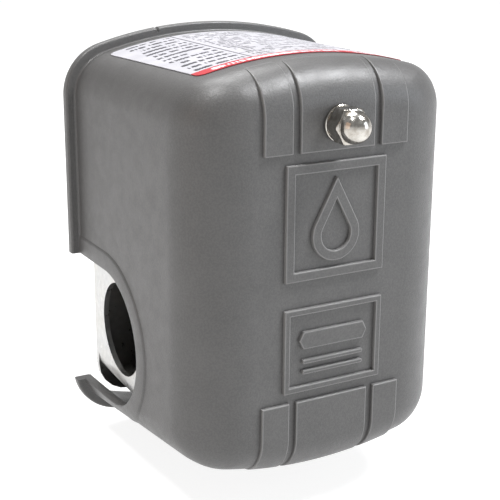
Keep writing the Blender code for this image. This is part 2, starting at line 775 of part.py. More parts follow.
def lever_outline():
    """(x, z) outline of the lever: a tongue at its foot and a narrower head."""
    half = LEVER_HALF_WIDTH
    right = [
        (3.5 * MM, -19.5 * MM),
        (3.5 * MM, -16.0 * MM),
        (half, -16.0 * MM),
        (half, 26.0 * MM),
        (8.6 * MM, 43.0 * MM),
        (6.6 * MM, 44.5 * MM),
    ]
    return right + [(-x, z) for x, z in reversed(right)]


def lever_cheek_outline():
    """(y, z) outline of a cheek that folds back from the lever to its pivot."""
    root = LEVER_REAR_Y - 0.5 * MM
    return [
        (root, -17.2 * MM),
        (-23.2 * MM, -17.2 * MM),
        (-23.2 * MM, -9.0 * MM),
        (-25.6 * MM, -3.0 * MM),
        (-25.6 * MM, 26.0 * MM),
        (root, 29.0 * MM),
    ]


def operating_lever():
    bm = bmesh.new()
    add_prism_y(bm, lever_outline(), LEVER_FRONT_Y, LEVER_REAR_Y)
    pivot = (0.0, PIVOT_Y, PIVOT_Z)
    piece = make("operating_lever", bm, zinc(), origin=pivot)
    cheeks = bmesh.new()
    outer, inner = LEVER_HALF_WIDTH - 0.05 * MM, LEVER_HALF_WIDTH - 1.4 * MM
    for side in (-1, 1):
        add_prism_x(cheeks, lever_cheek_outline(), side * inner, side * outer)
    combine(piece, cheeks, "UNION")
    cuts = bmesh.new()
    y0, y1 = LEVER_FRONT_Y - 1 * MM, LEVER_REAR_Y + 1 * MM
    add_rod_y(cuts, RANGE_STUD_RADIUS + 1.1 * MM, y0, y1, z=RANGE_Z)
    add_rod_y(cuts, DIFFERENTIAL_STUD_RADIUS + 1.1 * MM, y0, y1, z=DIFFERENTIAL_Z)
    hole = [(PIVOT_Y + a, PIVOT_Z + b) for a, b in circle(PIVOT_PIN_RADIUS + GAP, 12)]
    for side in (-1, 1):
        add_prism_x(cuts, hole, side * 9 * MM, side * 11.5 * MM)
    combine(piece, cuts, "DIFFERENCE")
    return piece


def pin(name, radius, y, z, half_length):
    """A plain pin across the switch."""
    bm = bmesh.new()
    outline = [(y + a, z + b) for a, b in circle(radius, 14)]
    tip = [(y + a, z + b) for a, b in circle(radius - 0.3 * MM, 14)]
    ends = half_length - 0.4 * MM
    rings = [along_x(tip, -half_length), along_x(outline, -ends)]
    rings += [along_x(outline, ends), along_x(tip, half_length)]
    add_loft(bm, rings)
    return make(name, bm, nickel(), origin=(0.0, y, z))


# ---------------------------------------------------------------- contacts

def contact_block():
    """A moulded block on two feet, with fences between its four terminals."""
    bm = bmesh.new()
    half = BLOCK_HALF_WIDTH
    add_prism_y(bm, rectangle(-half, half, BLOCK_BOTTOM, BLOCK_TOP), BLOCK_FRONT_Y, BLOCK_REAR_Y)
    piece = make("contact_block", bm, phenolic())
    combine(piece, block_additions(), "UNION")
    combine(piece, block_cuts(), "DIFFERENCE")
    return piece


def block_additions():
    """Feet behind the block, and fences and a shelf in front of it."""
    bm = bmesh.new()
    foot_y = PLATE_FRONT_Y - GAP
    for side in (-1, 1):
        x0, x1 = side * BLOCK_SCREW_X - 3.5 * MM, side * BLOCK_SCREW_X + 3.5 * MM
        foot = rectangle(x0, x1, BLOCK_BOTTOM + 0.1 * MM, BLOCK_SCREW_Z + 3.5 * MM)
        add_prism_y(bm, foot, BLOCK_REAR_Y - 1 * MM, foot_y)
    fence_front = BLOCK_FRONT_Y - 5.0 * MM
    fence_root = BLOCK_FRONT_Y + 0.6 * MM
    edge = BLOCK_HALF_WIDTH - 0.75 * MM
    for x in (-edge, -TERMINAL_PITCH, 0.0, TERMINAL_PITCH, edge):
        fence = rectangle(x - 0.7 * MM, x + 0.7 * MM, -23.6 * MM, BLOCK_TOP - 0.1 * MM)
        add_prism_y(bm, fence, fence_front, fence_root)
    shelf = rectangle(0.1 * MM - BLOCK_HALF_WIDTH, BLOCK_HALF_WIDTH - 0.1 * MM, -26.0 * MM, -24.2 * MM)
    add_prism_y(bm, shelf, BLOCK_FRONT_Y - 3.0 * MM, fence_root)
    return bm


def block_cuts():
    """Slots for the terminal bars and holes for the screws."""
    bm = bmesh.new()
    y0, y1 = BLOCK_FRONT_Y - 1 * MM, BLOCK_REAR_Y + 1 * MM
    half = TERMINAL_HALF_WIDTH + GAP
    for x in TERMINAL_XS:
        slot = rectangle(x - half, x + half, TERMINAL_BAR_LOW - GAP, TERMINAL_BAR_HIGH + GAP)
        add_prism_y(bm, slot, y0, y1)
        add_rod_y(bm, SCREW_HOLE_RADIUS, y0, BLOCK_FRONT_Y + 8 * MM, x, TERMINAL_SCREW_Z, 12)
    for side in (-1, 1):
        x = side * BLOCK_SCREW_X
        add_rod_y(bm, SCREW_HOLE_RADIUS, y0, PLATE_FRONT_Y + 1 * MM, x, BLOCK_SCREW_Z, 12)
    return bm


def block_screws():
    for number, side in enumerate((-1, 1), 1):
        name = f"contact_block_screw_{number}"
        seat = BLOCK_FRONT_Y - GAP
        tip = PLATE_REAR_Y + 1.4 * MM
        screw(name, side * BLOCK_SCREW_X, BLOCK_SCREW_Z, seat, tip, 2.9 * MM, 2.2 * MM, zinc())


TERMINAL_FACE_Y = BLOCK_FRONT_Y - GAP
TERMINAL_SHEET = 1.2 * MM
CLAMP_REAR_Y = TERMINAL_FACE_Y - TERMINAL_SHEET - GAP
CLAMP_SHEET = 1.1 * MM


def terminal(number, x):
    """A brass angle: a face under the clamp and a bar that runs back to the contacts."""
    outline = [
        (TERMINAL_FACE_Y - TERMINAL_SHEET, TERMINAL_BAR_LOW),
        (BLOCK_REAR_Y + GAP, TERMINAL_BAR_LOW),
        (BLOCK_REAR_Y + GAP, TERMINAL_BAR_HIGH),
        (TERMINAL_FACE_Y, TERMINAL_BAR_HIGH),
        (TERMINAL_FACE_Y, -8.6 * MM),
        (TERMINAL_FACE_Y - TERMINAL_SHEET, -8.6 * MM),
    ]
    bm = bmesh.new()
    add_prism_x(bm, outline, x - TERMINAL_HALF_WIDTH, x + TERMINAL_HALF_WIDTH)
    piece = make(f"terminal_{number}", bm, brass())
    cut = bmesh.new()
    y0, y1 = TERMINAL_FACE_Y - 3 * MM, TERMINAL_FACE_Y + 1 * MM
    add_rod_y(cut, SCREW_HOLE_RADIUS, y0, y1, x, TERMINAL_SCREW_Z, 12)
    combine(piece, cut, "DIFFERENCE")


def clamp_plate(number, x):
    """A square wire clamp with a hole for its screw."""
    half = 3.6 * MM
    steps = 16
    square = []
    for k in range(steps):
        a = 2 * pi * k / steps
        reach = half / max(abs(cos(a)), abs(sin(a)))
        square.append((reach * cos(a), reach * sin(a)))
    bore = circle(SCREW_HOLE_RADIUS, steps)
    rear, front = CLAMP_REAR_Y, CLAMP_REAR_Y - CLAMP_SHEET
    rings = [
        along_y(bore, rear, x, TERMINAL_SCREW_Z),
        along_y(square, rear, x, TERMINAL_SCREW_Z),
        along_y(square, front, x, TERMINAL_SCREW_Z),
        along_y(bore, front, x, TERMINAL_SCREW_Z),
    ]
    bm = bmesh.new()
    add_loft(bm, rings, capped=False)
    make(f"clamp_plate_{number}", bm, zinc())


def terminals():
    for number, x in enumerate(TERMINAL_XS, 1):
        terminal(number, x)
        clamp_plate(number, x)
        seat = CLAMP_REAR_Y - CLAMP_SHEET - GAP
        tip = BLOCK_FRONT_Y + 7 * MM
        name = f"terminal_screw_{number}"
        screw(name, x, TERMINAL_SCREW_Z, seat, tip, 3.4 * MM, 2.6 * MM, brass())


CONTACT_REAR_Y = BLOCK_REAR_Y + 2 * GAP + 1.0 * MM
CONTACT_LOW, CONTACT_HIGH = -22.0 * MM, -18.4 * MM


def contact_carrier():
    """A rocking beam with two arms that carry the moving contacts."""
    half = 2.3 * MM
    beam = rectangle(CARRIER_Y - half, CARRIER_Y + half, CARRIER_Z - half, CARRIER_Z + half)
    bm = bmesh.new()
    add_prism_x(bm, beam, -CARRIER_HALF_WIDTH, CARRIER_HALF_WIDTH)
    piece = make("contact_carrier", bm, phenolic(), origin=(0.0, CARRIER_Y, CARRIER_Z))
    arms = bmesh.new()
    face = CONTACT_REAR_Y + GAP
    arm = [
        (face, CARRIER_Z + 1.0 * MM),
        (CARRIER_Y + 0.8 * MM, CARRIER_Z + 1.0 * MM),
        (CARRIER_Y + 0.8 * MM, CARRIER_Z + 4.0 * MM),
        (face + 2.4 * MM, CONTACT_LOW + 1.0 * MM),
        (face + 2.4 * MM, CONTACT_HIGH),
        (face, CONTACT_HIGH),
    ]
    for side in (-1, 1):
        add_prism_x(arms, arm, side * 8.2 * MM, side * 13.6 * MM)
    combine(piece, arms, "UNION")
    cut = bmesh.new()
    hole = [(CARRIER_Y + a, CARRIER_Z + b) for a, b in circle(CARRIER_PIN_RADIUS + GAP, 12)]
    add_prism_x(cut, hole, -16 * MM, 16 * MM)
    combine(piece, cut, "DIFFERENCE")
    return piece


def moving_contact(name, side):
    """A brass bridge with a button in front of each of its two terminals."""
    front = CONTACT_REAR_Y - 0.6 * MM
    inner, outer = TERMINAL_PITCH / 2, TERMINAL_PITCH * 1.5
    x0, x1 = side * (inner - 2.2 * MM), side * (outer + 2.2 * MM)
    bm = bmesh.new()
    add_prism_y(bm, rectangle(min(x0, x1), max(x0, x1), CONTACT_LOW, CONTACT_HIGH), front, CONTACT_REAR_Y)
    piece = make(name, bm, brass())
    buttons = bmesh.new()
    middle = (TERMINAL_BAR_LOW + TERMINAL_BAR_HIGH) / 2
    for x in (side * inner, side * outer):
        add_rod_y(buttons, 1.3 * MM, front - 0.4 * MM, front + 0.3 * MM, x, middle, 12)
    combine(piece, buttons, "UNION")
    return piece


def snap_spring():
    """A small upright coil between the lever's tongue and the carrier."""
    top = -19.5 * MM - GAP - 0.3 * MM
    bottom = CARRIER_Z + 2.3 * MM + GAP + 0.3 * MM
    axis_y = (LEVER_FRONT_Y + LEVER_REAR_Y) / 2

    def upright(p):
        return Vector((p.x, axis_y + p.z, p.y))

    return coil("snap_spring", 1.4 * MM, 0.3 * MM, top, bottom, 4.0, upright, sides=5, steps=10)


# ---------------------------------------------------------------- the switch

def build():
    for leftover in list(bpy.data.objects):
        bpy.data.objects.remove(leftover)
    shell = cover()
    attach(info_label(), shell)
    attach(cap_nut(), shell)
    base_frame()
    port_flange()
    diaphragm()
    piston()
    flange_screws()
    adjusting_springs()
    operating_lever()
    pin("lever_pivot_pin", PIVOT_PIN_RADIUS, PIVOT_Y, PIVOT_Z, 15.5 * MM)
    contact_block()
    block_screws()
    terminals()
    carrier = contact_carrier()
    pin("carrier_pin", CARRIER_PIN_RADIUS, CARRIER_Y, CARRIER_Z, 17.2 * MM)
    attach(moving_contact("moving_contact_left", -1), carrier)
    attach(moving_contact("moving_contact_right", 1), carrier)
    snap_spring()
    ground_screws()


build()
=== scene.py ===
"""Looks of the pressure switch: surfaces, materials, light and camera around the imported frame.

Metres, in the CAD's frame: +X right, +Y out of the port behind the switch, +Z up.
"""
from math import atan2, cos, floor, pi, radians, sin, sqrt

import bmesh
import bpy
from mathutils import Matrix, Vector


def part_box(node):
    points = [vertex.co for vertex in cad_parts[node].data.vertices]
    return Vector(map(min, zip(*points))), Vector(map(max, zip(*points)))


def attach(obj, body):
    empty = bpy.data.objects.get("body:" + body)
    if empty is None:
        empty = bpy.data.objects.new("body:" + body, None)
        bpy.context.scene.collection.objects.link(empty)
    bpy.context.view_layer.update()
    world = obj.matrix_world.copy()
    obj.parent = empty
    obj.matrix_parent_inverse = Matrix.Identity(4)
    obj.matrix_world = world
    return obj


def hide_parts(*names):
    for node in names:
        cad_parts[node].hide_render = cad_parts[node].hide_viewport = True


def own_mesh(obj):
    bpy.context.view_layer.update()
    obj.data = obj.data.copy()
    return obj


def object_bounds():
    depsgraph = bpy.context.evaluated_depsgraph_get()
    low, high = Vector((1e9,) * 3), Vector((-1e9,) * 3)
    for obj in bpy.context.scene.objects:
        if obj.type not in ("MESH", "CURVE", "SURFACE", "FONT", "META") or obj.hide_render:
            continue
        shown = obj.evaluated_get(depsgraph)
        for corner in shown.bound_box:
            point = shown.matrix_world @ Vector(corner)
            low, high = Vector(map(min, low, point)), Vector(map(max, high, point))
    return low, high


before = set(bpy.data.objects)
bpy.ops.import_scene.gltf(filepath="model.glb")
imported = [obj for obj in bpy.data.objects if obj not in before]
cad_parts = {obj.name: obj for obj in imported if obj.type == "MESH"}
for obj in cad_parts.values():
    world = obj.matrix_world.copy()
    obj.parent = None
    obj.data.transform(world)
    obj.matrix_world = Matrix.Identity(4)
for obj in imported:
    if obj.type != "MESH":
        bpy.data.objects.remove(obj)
cad_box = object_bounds()

MM = 0.001

# Cover, worked out from the CAD node's box
COVER_LOW, COVER_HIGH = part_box("cover")
RELIEF = 0.8 * MM
LIP_PROUD = 2.2 * MM
LIP_DEPTH = 2.4 * MM
FRONT_Y = COVER_LOW[1] + RELIEF
REAR_Y = COVER_HIGH[1]
HALF_WIDTH_REAR = COVER_HIGH[0] - LIP_PROUD
HALF_WIDTH_FRONT = HALF_WIDTH_REAR - 2.8 * MM
ROOF_Z = COVER_HIGH[2] - LIP_PROUD
FLOOR_REAR_Z = COVER_LOW[2] + LIP_PROUD
FLOOR_FRONT_Z = FLOOR_REAR_Z + 7.3 * MM
WALL = 1.9 * MM
ARCH_RADIUS = 94.0 * MM
CORNER_RADIUS = 10.0 * MM
EDGE_RADIUS = 9.0 * MM
SIDE_EDGE_RADIUS = 13.0 * MM

# Small groove across the lip
GROOVE_X = (-12.9 * MM, -12.2 * MM)
GROOVE_DEPTH = 0.9 * MM

# Side notches over the conduit holes
NOTCH_Y = -36.0 * MM
NOTCH_Z = -20.0 * MM
NOTCH_RADIUS = 16.5 * MM
RIM_WIDTH = 4.3 * MM
RIM_PROUD = 0.35 * MM

# Raised work on the front
BAND_EDGES = ((-16.8 * MM, -10.4 * MM), (-8.7 * MM, 8.7 * MM), (10.4 * MM, 16.8 * MM))
BAND_TOP_FOOT = 30.3 * MM
BAND_BOTTOM_HEAD = -22.7 * MM
EMBLEM_HALF_WIDTH = 11.75 * MM
EMBLEM_LOW, EMBLEM_HIGH = 3.8 * MM, 28.1 * MM
EMBLEM_BORDER = 2.0 * MM
NAMEPLATE_LOW, NAMEPLATE_HIGH = -20.5 * MM, -2.2 * MM
NAMEPLATE_BORDER = 1.3 * MM
DROP_RADIUS, DROP_HEIGHT, DROP_STROKE = 5.6 * MM, 12.0 * MM, 2.1 * MM
DROP_Z = EMBLEM_LOW + 9.0 * MM
# Each bar: low Z, high Z, half width, slant of its ends
PLATE_BARS = (
    (-11.1 * MM, -7.3 * MM, 8.2 * MM, 0.9 * MM),
    (-14.4 * MM, -13.5 * MM, 7.4 * MM, 0.2 * MM),
    (-16.7 * MM, -15.8 * MM, 7.4 * MM, 0.2 * MM),
)
RELIEF_ROOT = 0.3 * MM
SOFT_EDGE = 0.2 * MM

# Printed label on the roof
LABEL_LIFT = 0.08 * MM
LABEL_THICKNESS = 0.12 * MM
LABEL_TAPER = 2.0 * MM
LABEL_CORNER = 1.8 * MM
LABEL_DIVIDER_X = -11.0 * MM
LABEL_RED = 3.3 * MM

# Nut, studs and springs
NUT_Z = (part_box("cap_nut")[0][2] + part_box("cap_nut")[1][2]) / 2
STUD_HOLE_RADIUS = 2.5 * MM
THREAD_PITCH = 0.79375 * MM
LEVER_GAP = 1.0 * MM

# Bends sharper than this many degrees keep a hard edge in the shading
SHARP_ANGLE = 35.0


# ---------------------------------------------------------------- shape helpers

def spread(start, end, steps):
    """Return steps + 1 evenly spaced values from start to end."""
    return [start + (end - start) * k / steps for k in range(steps + 1)]


def circle(radius, count):
    """Points of a circle about the origin, as pairs."""
    return [(radius * cos(2 * pi * k / count), radius * sin(2 * pi * k / count)) for k in range(count)]


def along_y(points, y, x=0.0, z=0.0):
    """Stand pairs (x, z) up as a ring at the given y."""
    return [Vector((x + p[0], y, z + p[1])) for p in points]


def along_x(points, x):
    """Stand pairs (y, z) up as a ring at the given x."""
    return [Vector((x, p[0], p[1])) for p in points]


def add_loft(bm, rings, capped=True):
    """Skin a list of rings of equal length; without caps the last ring joins the first."""
    loops = [[bm.verts.new(p) for p in ring] for ring in rings]
    pairs = list(zip(loops, loops[1:]))
    if not capped:
        pairs.append((loops[-1], loops[0]))
    faces = []
    for first, second in pairs:
        count = len(first)
        for k in range(count):
            follower = (k + 1) % count
            corners = (first[k], first[follower], second[follower], second[k])
            faces.append(bm.faces.new(corners))
    if capped:
        faces.append(bm.faces.new(loops[0]))
        faces.append(bm.faces.new(loops[-1]))
    bmesh.ops.recalc_face_normals(bm, faces=faces)


def make(name, bm, finish, sharp=SHARP_ANGLE):
    """Turn a bmesh into a smooth-shaded object in the scene."""
    mesh = bpy.data.meshes.new(name)
    bm.to_mesh(mesh)
    bm.free()
    mesh.shade_smooth()
    mesh.set_sharp_from_angle(angle=radians(sharp))
    mesh.materials.append(finish)
    piece = bpy.data.objects.new(name, mesh)
    bpy.context.scene.collection.objects.link(piece)
    return piece


def carve(piece, bm):
    """Cut a tool body out of a piece and keep only the result."""
    tool = make(piece.name + "_tool", bm, piece.data.materials[0])
    step = piece.modifiers.new("Cut", "BOOLEAN")
    step.operation = "DIFFERENCE"
    step.object = tool
    bpy.context.view_layer.update()
    view = bpy.context.evaluated_depsgraph_get()
    result = bpy.data.meshes.new_from_object(piece.evaluated_get(view))
    piece.modifiers.remove(step)
    piece.data = result
    piece.data.set_sharp_from_angle(angle=radians(SHARP_ANGLE))
    bpy.data.objects.remove(tool)


# ---------------------------------------------------------------- material helpers

class Nodes:
    """Small helper that builds a Principled material's node tree."""

    def __init__(self, name):
        self.material = bpy.data.materials.new(name)
        self.material.use_nodes = True
        self.tree = self.material.node_tree
        self.shader = self.tree.nodes["Principled BSDF"]

    def add(self, kind, **values):
        """A new node with the given settings."""
        node = self.tree.nodes.new(kind)
        for key, value in values.items():
            setattr(node, key, value)
        return node

    def link(self, source, socket):
        """Connect an output to a socket, or set the socket to a plain value."""
        if hasattr(source, "is_output"):
            self.tree.links.new(source, socket)
        else:
            socket.default_value = source

    def math(self, operation, first, second=0.0, third=0.0):
        """The output of one arithmetic step on sockets or numbers."""
        node = self.add("ShaderNodeMath", operation=operation)
        for socket, value in zip(node.inputs, (first, second, third)):
            self.link(value, socket)
        return node.outputs[0]

    def place(self):
        """Object coordinates in metres, split into x, y and z."""
        if not hasattr(self, "coordinates"):
            self.coordinates = self.add("ShaderNodeTexCoord").outputs["Object"]
            self.split = self.add("ShaderNodeSeparateXYZ")
            self.link(self.coordinates, self.split.inputs[0])
        return self.coordinates, self.split.outputs

    def noise(self, size, detail=2.0, roughness=0.5, stretch=None):
        """Noise with features of the given size in metres, optionally stretched along axes."""
        coordinates, _ = self.place()
        if stretch:
            mapping = self.add("ShaderNodeMapping")
            mapping.inputs["Scale"].default_value = stretch
            self.link(coordinates, mapping.inputs["Vector"])
            coordinates = mapping.outputs[0]
        node = self.add("ShaderNodeTexNoise")
        self.link(coordinates, node.inputs["Vector"])
        node.inputs["Scale"].default_value = 1.0 / size
        node.inputs["Detail"].default_value = detail
        node.inputs["Roughness"].default_value = roughness
        return node.outputs["Fac"]

    def ramp(self, value, stops):
        """Blend through (position, colour) stops; a colour may be a single grey level."""
        node = self.add("ShaderNodeValToRGB")
        self.link(value, node.inputs[0])
        band = node.color_ramp
        for place, color in stops[2:]:
            band.elements.new(place)
        ordered = sorted(stops, key=lambda stop: stop[0])
        for element, (place, color) in zip(band.elements, ordered):
            shade = (color, color, color) if isinstance(color, float) else color
            element.position = place
            element.color = (*shade, 1.0)
        return node.outputs[0]

    def mix(self, share, first, second):
        """Blend two colours by a share from 0 to 1."""
        node = self.add("ShaderNodeMix", data_type="RGBA")
        color_a, color_b, color_out = node.inputs[6], node.inputs[7], node.outputs[2]
        self.link(share, node.inputs["Factor"])
        for source, socket in ((first, color_a), (second, color_b)):
            if hasattr(source, "is_output"):
                self.tree.links.new(source, socket)
            else:
                socket.default_value = (*source, 1.0)
        return color_out

    def bump(self, height, distance, strength=1.0, under=None):
        """A normal from a height field, on top of another bump when one is given."""
        node = self.add("ShaderNodeBump")
        node.inputs["Strength"].default_value = strength
        node.inputs["Distance"].default_value = distance
        self.link(height, node.inputs["Height"])
        if under is not None:
            self.link(under, node.inputs["Normal"])
        return node.outputs[0]

    def finish(self, **values):
        """Set or link the shader's sockets by name, with _ for a blank."""
        for key, value in values.items():
            socket = self.shader.inputs[key.replace("_", " ")]
            if isinstance(value, tuple):
                value = (*value, 1.0)
            self.link(value, socket)
        return self.material


def moulded_plastic():
    """Mid-grey cover plastic: fine spark-eroded grain, slight mottling, satin skin, and a painted
    highlight along the raised edges.
    """
    n = Nodes("cover_plastic")
    mottle = n.noise(9 * MM, 3.0)
    color = n.ramp(mottle, [(0.3, (0.066, 0.0648, 0.0640)), (0.7, (0.076, 0.0746, 0.0738))])
    speck = n.ramp(n.noise(0.4 * MM, 2.0, 0.7), [(0.42, 0.0), (0.58, 1.0)])
    color = n.mix(n.math("MULTIPLY", speck, 0.2), color, (0.140, 0.136, 0.132))
    # Painted highlight: a lighter colour on the marked outward edges stands in for light catching them
    painted_edge_highlight = n.add("ShaderNodeAttribute", attribute_name="painted_edge_highlight").outputs["Fac"]
    color = n.mix(n.math("MULTIPLY", painted_edge_highlight, 0.42), color, (0.27, 0.265, 0.26))
    rough = n.ramp(n.noise(3 * MM, 3.0), [(0.35, 0.36), (0.65, 0.44)])
    grain = n.bump(n.noise(0.35 * MM, 3.0, 0.65), 0.06 * MM, 0.9)
    flow = n.bump(n.noise(14 * MM, 1.0), 0.12 * MM, 0.35, grain)
    return n.finish(Base_Color=color, Roughness=rough, Normal=flow, Specular_IOR_Level=0.5)


def zinc_plate():
    """Bright zinc on steel: faint crystal bloom, rolling lines and a slight colour drift."""
    n = Nodes("zinc_plate")
    tint = (0.60, 0.59, 0.565)
    coordinates, _ = n.place()
    bloom = n.add("ShaderNodeTexVoronoi")
    n.link(coordinates, bloom.inputs["Vector"])
    bloom.inputs["Scale"].default_value = 1.0 / (1.6 * MM)
    dark = tuple(c * 0.84 for c in tint)
    color = n.mix(bloom.outputs["Distance"], tint, dark)
    drift = n.ramp(n.noise(6 * MM, 2.0), [(0.35, 0.0), (0.65, 0.4)])
    color = n.mix(drift, color, (tint[0] * 0.93, tint[1] * 0.96, tint[2] * 1.04))
    rough = n.ramp(n.noise(1.2 * MM, 3.0), [(0.3, 0.26), (0.7, 0.42)])
    lines = n.noise(0.25 * MM, 2.0, stretch=(1.0, 1.0, 0.08))
    rolled = n.bump(lines, 0.012 * MM, 0.5)
    return n.finish(Base_Color=color, Roughness=rough, Metallic=1.0, Normal=rolled)


def cast_zinc():
    """Die-cast port flange: duller, with a sandy skin."""
    n = Nodes("cast_zinc")
    color = n.ramp(n.noise(2.5 * MM, 4.0), [(0.3, (0.50, 0.49, 0.47)), (0.7, (0.63, 0.62, 0.59))])
    rough = n.ramp(n.noise(0.8 * MM, 3.0), [(0.3, 0.38), (0.7, 0.55)])
    skin = n.bump(n.noise(0.35 * MM, 3.0, 0.6), 0.03 * MM, 0.6)
    return n.finish(Base_Color=color, Roughness=rough, Metallic=1.0, Normal=skin)


def polished_nickel():
    """Acorn nut: mirror-like with faint turning marks and handling smears."""
    n = Nodes("polished_nickel")
    color = n.ramp(n.noise(1.6 * MM, 3.0), [(0.3, (0.36, 0.33, 0.29)), (0.7, (0.60, 0.58, 0.54))])
    rough = n.ramp(n.noise(0.8 * MM, 3.0), [(0.35, 0.10), (0.7, 0.24)])
    marks = n.bump(n.noise(0.2 * MM, 1.0, stretch=(0.1, 1.0, 0.1)), 0.004 * MM, 0.5)
    return n.finish(Base_Color=color, Roughness=rough, Metallic=1.0, Normal=marks)


def brass():
    """Turned and stamped brass, a little tarnished in places."""
    n = Nodes("brass")
    color = n.ramp(n.noise(1.8 * MM, 3.0), [(0.3, (0.60, 0.40, 0.15)), (0.7, (0.78, 0.57, 0.27))])
    rough = n.ramp(n.noise(0.7 * MM, 3.0), [(0.3, 0.22), (0.7, 0.38)])
    marks = n.bump(n.noise(0.18 * MM, 2.0, stretch=(1.0, 0.15, 1.0)), 0.008 * MM, 0.5)
    return n.finish(Base_Color=color, Roughness=rough, Metallic=1.0, Normal=marks)


def phenolic():
    """Black moulding compound: faint filler specks under a half-gloss skin."""
    n = Nodes("phenolic")
    grains = n.noise(0.5 * MM, 3.0, 0.7)
    specks = n.ramp(grains, [(0.6, (0.012, 0.012, 0.013)), (0.72, (0.045, 0.040, 0.036))])
    rough = n.ramp(n.noise(2.5 * MM, 2.0), [(0.3, 0.30), (0.7, 0.44)])
    skin = n.bump(n.noise(0.5 * MM, 2.0), 0.015 * MM, 0.5)
    return n.finish(Base_Color=specks, Roughness=rough, Normal=skin)


def spring_wire():
    """Drawn spring steel, darker than the zinc around it."""
    n = Nodes("spring_wire")
    color = n.ramp(n.noise(1.2 * MM, 3.0), [(0.3, (0.24, 0.24, 0.25)), (0.7, (0.40, 0.40, 0.41))])
    rough = n.ramp(n.noise(0.6 * MM, 2.0), [(0.3, 0.24), (0.7, 0.40)])
    return n.finish(Base_Color=color, Roughness=rough, Metallic=1.0)


def nitrile():
    """Dull black rubber."""
    n = Nodes("nitrile")
    color = n.ramp(n.noise(1.5 * MM, 3.0), [(0.3, (0.016, 0.016, 0.017)), (0.7, (0.034, 0.034, 0.036))])
    skin = n.bump(n.noise(0.3 * MM, 2.0), 0.03 * MM, 0.6)
    return n.finish(Base_Color=color, Roughness=0.78, Normal=skin)


def green_zinc():
    """Green-dyed zinc of the grounding screws."""
    n = Nodes("green_zinc")
    color = n.ramp(n.noise(1.0 * MM, 3.0), [(0.3, (0.03, 0.22, 0.07)), (0.7, (0.07, 0.36, 0.13))])
    rough = n.ramp(n.noise(0.6 * MM, 2.0), [(0.3, 0.26), (0.7, 0.42)])
    return n.finish(Base_Color=color, Roughness=rough, Metallic=0.85)


def greeked_rows(n, x, along, pitch, word, density):
    """Ink of word-like dashes: rows along X, split into words and those into fine strokes."""
    rows = n.math("DIVIDE", along, pitch)
    row = n.math("FLOOR", rows)
    within = n.math("ABSOLUTE", n.math("SUBTRACT", n.math("FRACT", rows), 0.5))

    def chance(size, seed):
        """A random value per cell of the given size; each row's cells are shifted by the seed."""
        shifted = n.math("ADD", x, n.math("MULTIPLY", row, seed))
        cell = n.math("FLOOR", n.math("DIVIDE", shifted, size))
        pair = n.add("ShaderNodeCombineXYZ")
        for value, socket in zip((cell, row, seed * 1000), pair.inputs):
            n.link(value, socket)
        random = n.add("ShaderNodeTexWhiteNoise", noise_dimensions="3D")
        n.link(pair.outputs[0], random.inputs["Vector"])
        return random.outputs["Value"]

    words = n.math("LESS_THAN", chance(word, 7.31 * MM), density)
    strokes = n.math("LESS_THAN", chance(word * 0.22, 3.17 * MM), 0.8)
    uneven = n.math("MULTIPLY", chance(word * 0.16, 5.53 * MM), 0.12)
    tall = n.math("LESS_THAN", within, n.math("ADD", 0.15, uneven))
    return n.math("MULTIPLY", n.math("MULTIPLY", words, strokes), tall)


def printed_label():
    """White label: red edge band, ruled panels and rows of plain dashes instead of words."""
    n = Nodes("printed_label")
    _, (x, y, _) = n.place()
    low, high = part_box("info_label")
    side_margin, rear_margin, front_margin = 3.4 * MM, 1.4 * MM, 0.8 * MM
    behind_edge = n.math("SUBTRACT", y, low[1])
    left_panel = n.math("LESS_THAN", x, LABEL_DIVIDER_X)
    right_panel = n.math("SUBTRACT", 1.0, left_panel)

    def line(value, place, width):
        """1 within half the width of a place."""
        distance = n.math("ABSOLUTE", n.math("SUBTRACT", value, place))
        return n.math("LESS_THAN", distance, width / 2)

    def product(*factors):
        """All the factors multiplied together."""
        result = factors[0]
        for factor in factors[1:]:
            result = n.math("MULTIPLY", result, factor)
        return result

    paper = n.ramp(n.noise(5 * MM, 2.0), [(0.3, (0.35, 0.345, 0.37)), (0.7, (0.40, 0.395, 0.42))])
    beyond_red = n.math("SUBTRACT", behind_edge, LABEL_RED)
    left_text = product(
        greeked_rows(n, x, beyond_red, 3.1 * MM, 1.9 * MM, 0.86),
        left_panel,
        n.math("GREATER_THAN", x, -high[0] + side_margin),
        n.math("LESS_THAN", x, LABEL_DIVIDER_X - 1.0 * MM),
    )
    right_text = product(
        greeked_rows(n, x, beyond_red, 1.9 * MM, 1.3 * MM, 0.72),
        right_panel,
        n.math("GREATER_THAN", x, LABEL_DIVIDER_X + 1.6 * MM),
        n.math("LESS_THAN", x, high[0] - side_margin),
    )
    text = product(
        n.math("ADD", left_text, right_text),
        n.math("GREATER_THAN", beyond_red, front_margin),
        n.math("LESS_THAN", y, high[1] - rear_margin),
    )
    cross_rule = product(line(beyond_red, 6 * MM, 0.35 * MM), right_panel)
    rules = n.math("ADD", line(x, LABEL_DIVIDER_X, 0.4 * MM), cross_rule)
    ink = n.math("MINIMUM", n.math("ADD", text, rules), 1.0)
    color = n.mix(n.math("MULTIPLY", ink, 0.92), paper, (0.018, 0.018, 0.024))
    heading = product(
        greeked_rows(n, x, behind_edge, LABEL_RED, 2.2 * MM, 0.9),
        n.math("LESS_THAN", n.math("ABSOLUTE", x), 21 * MM),
    )
    red_color = n.mix(heading, (0.36, 0.022, 0.030), (0.60, 0.57, 0.59))
    color = n.mix(n.math("LESS_THAN", beyond_red, 0.0), color, red_color)
    fibre = n.bump(n.noise(0.4 * MM, 2.0), 0.01 * MM, 0.5)
    return n.finish(Base_Color=color, Roughness=0.5, Normal=fibre, Specular_IOR_Level=0.3)


# ---------------------------------------------------------------- cover

ARCH_STEPS = 56
CORNER_STEPS = 14
WALL_STEPS = 16
ROUND_STEPS = 18


def depth_share(y):
    """0 at the cover's back edge and 1 at its front face."""
    return (REAR_Y - y) / (REAR_Y - FRONT_Y)


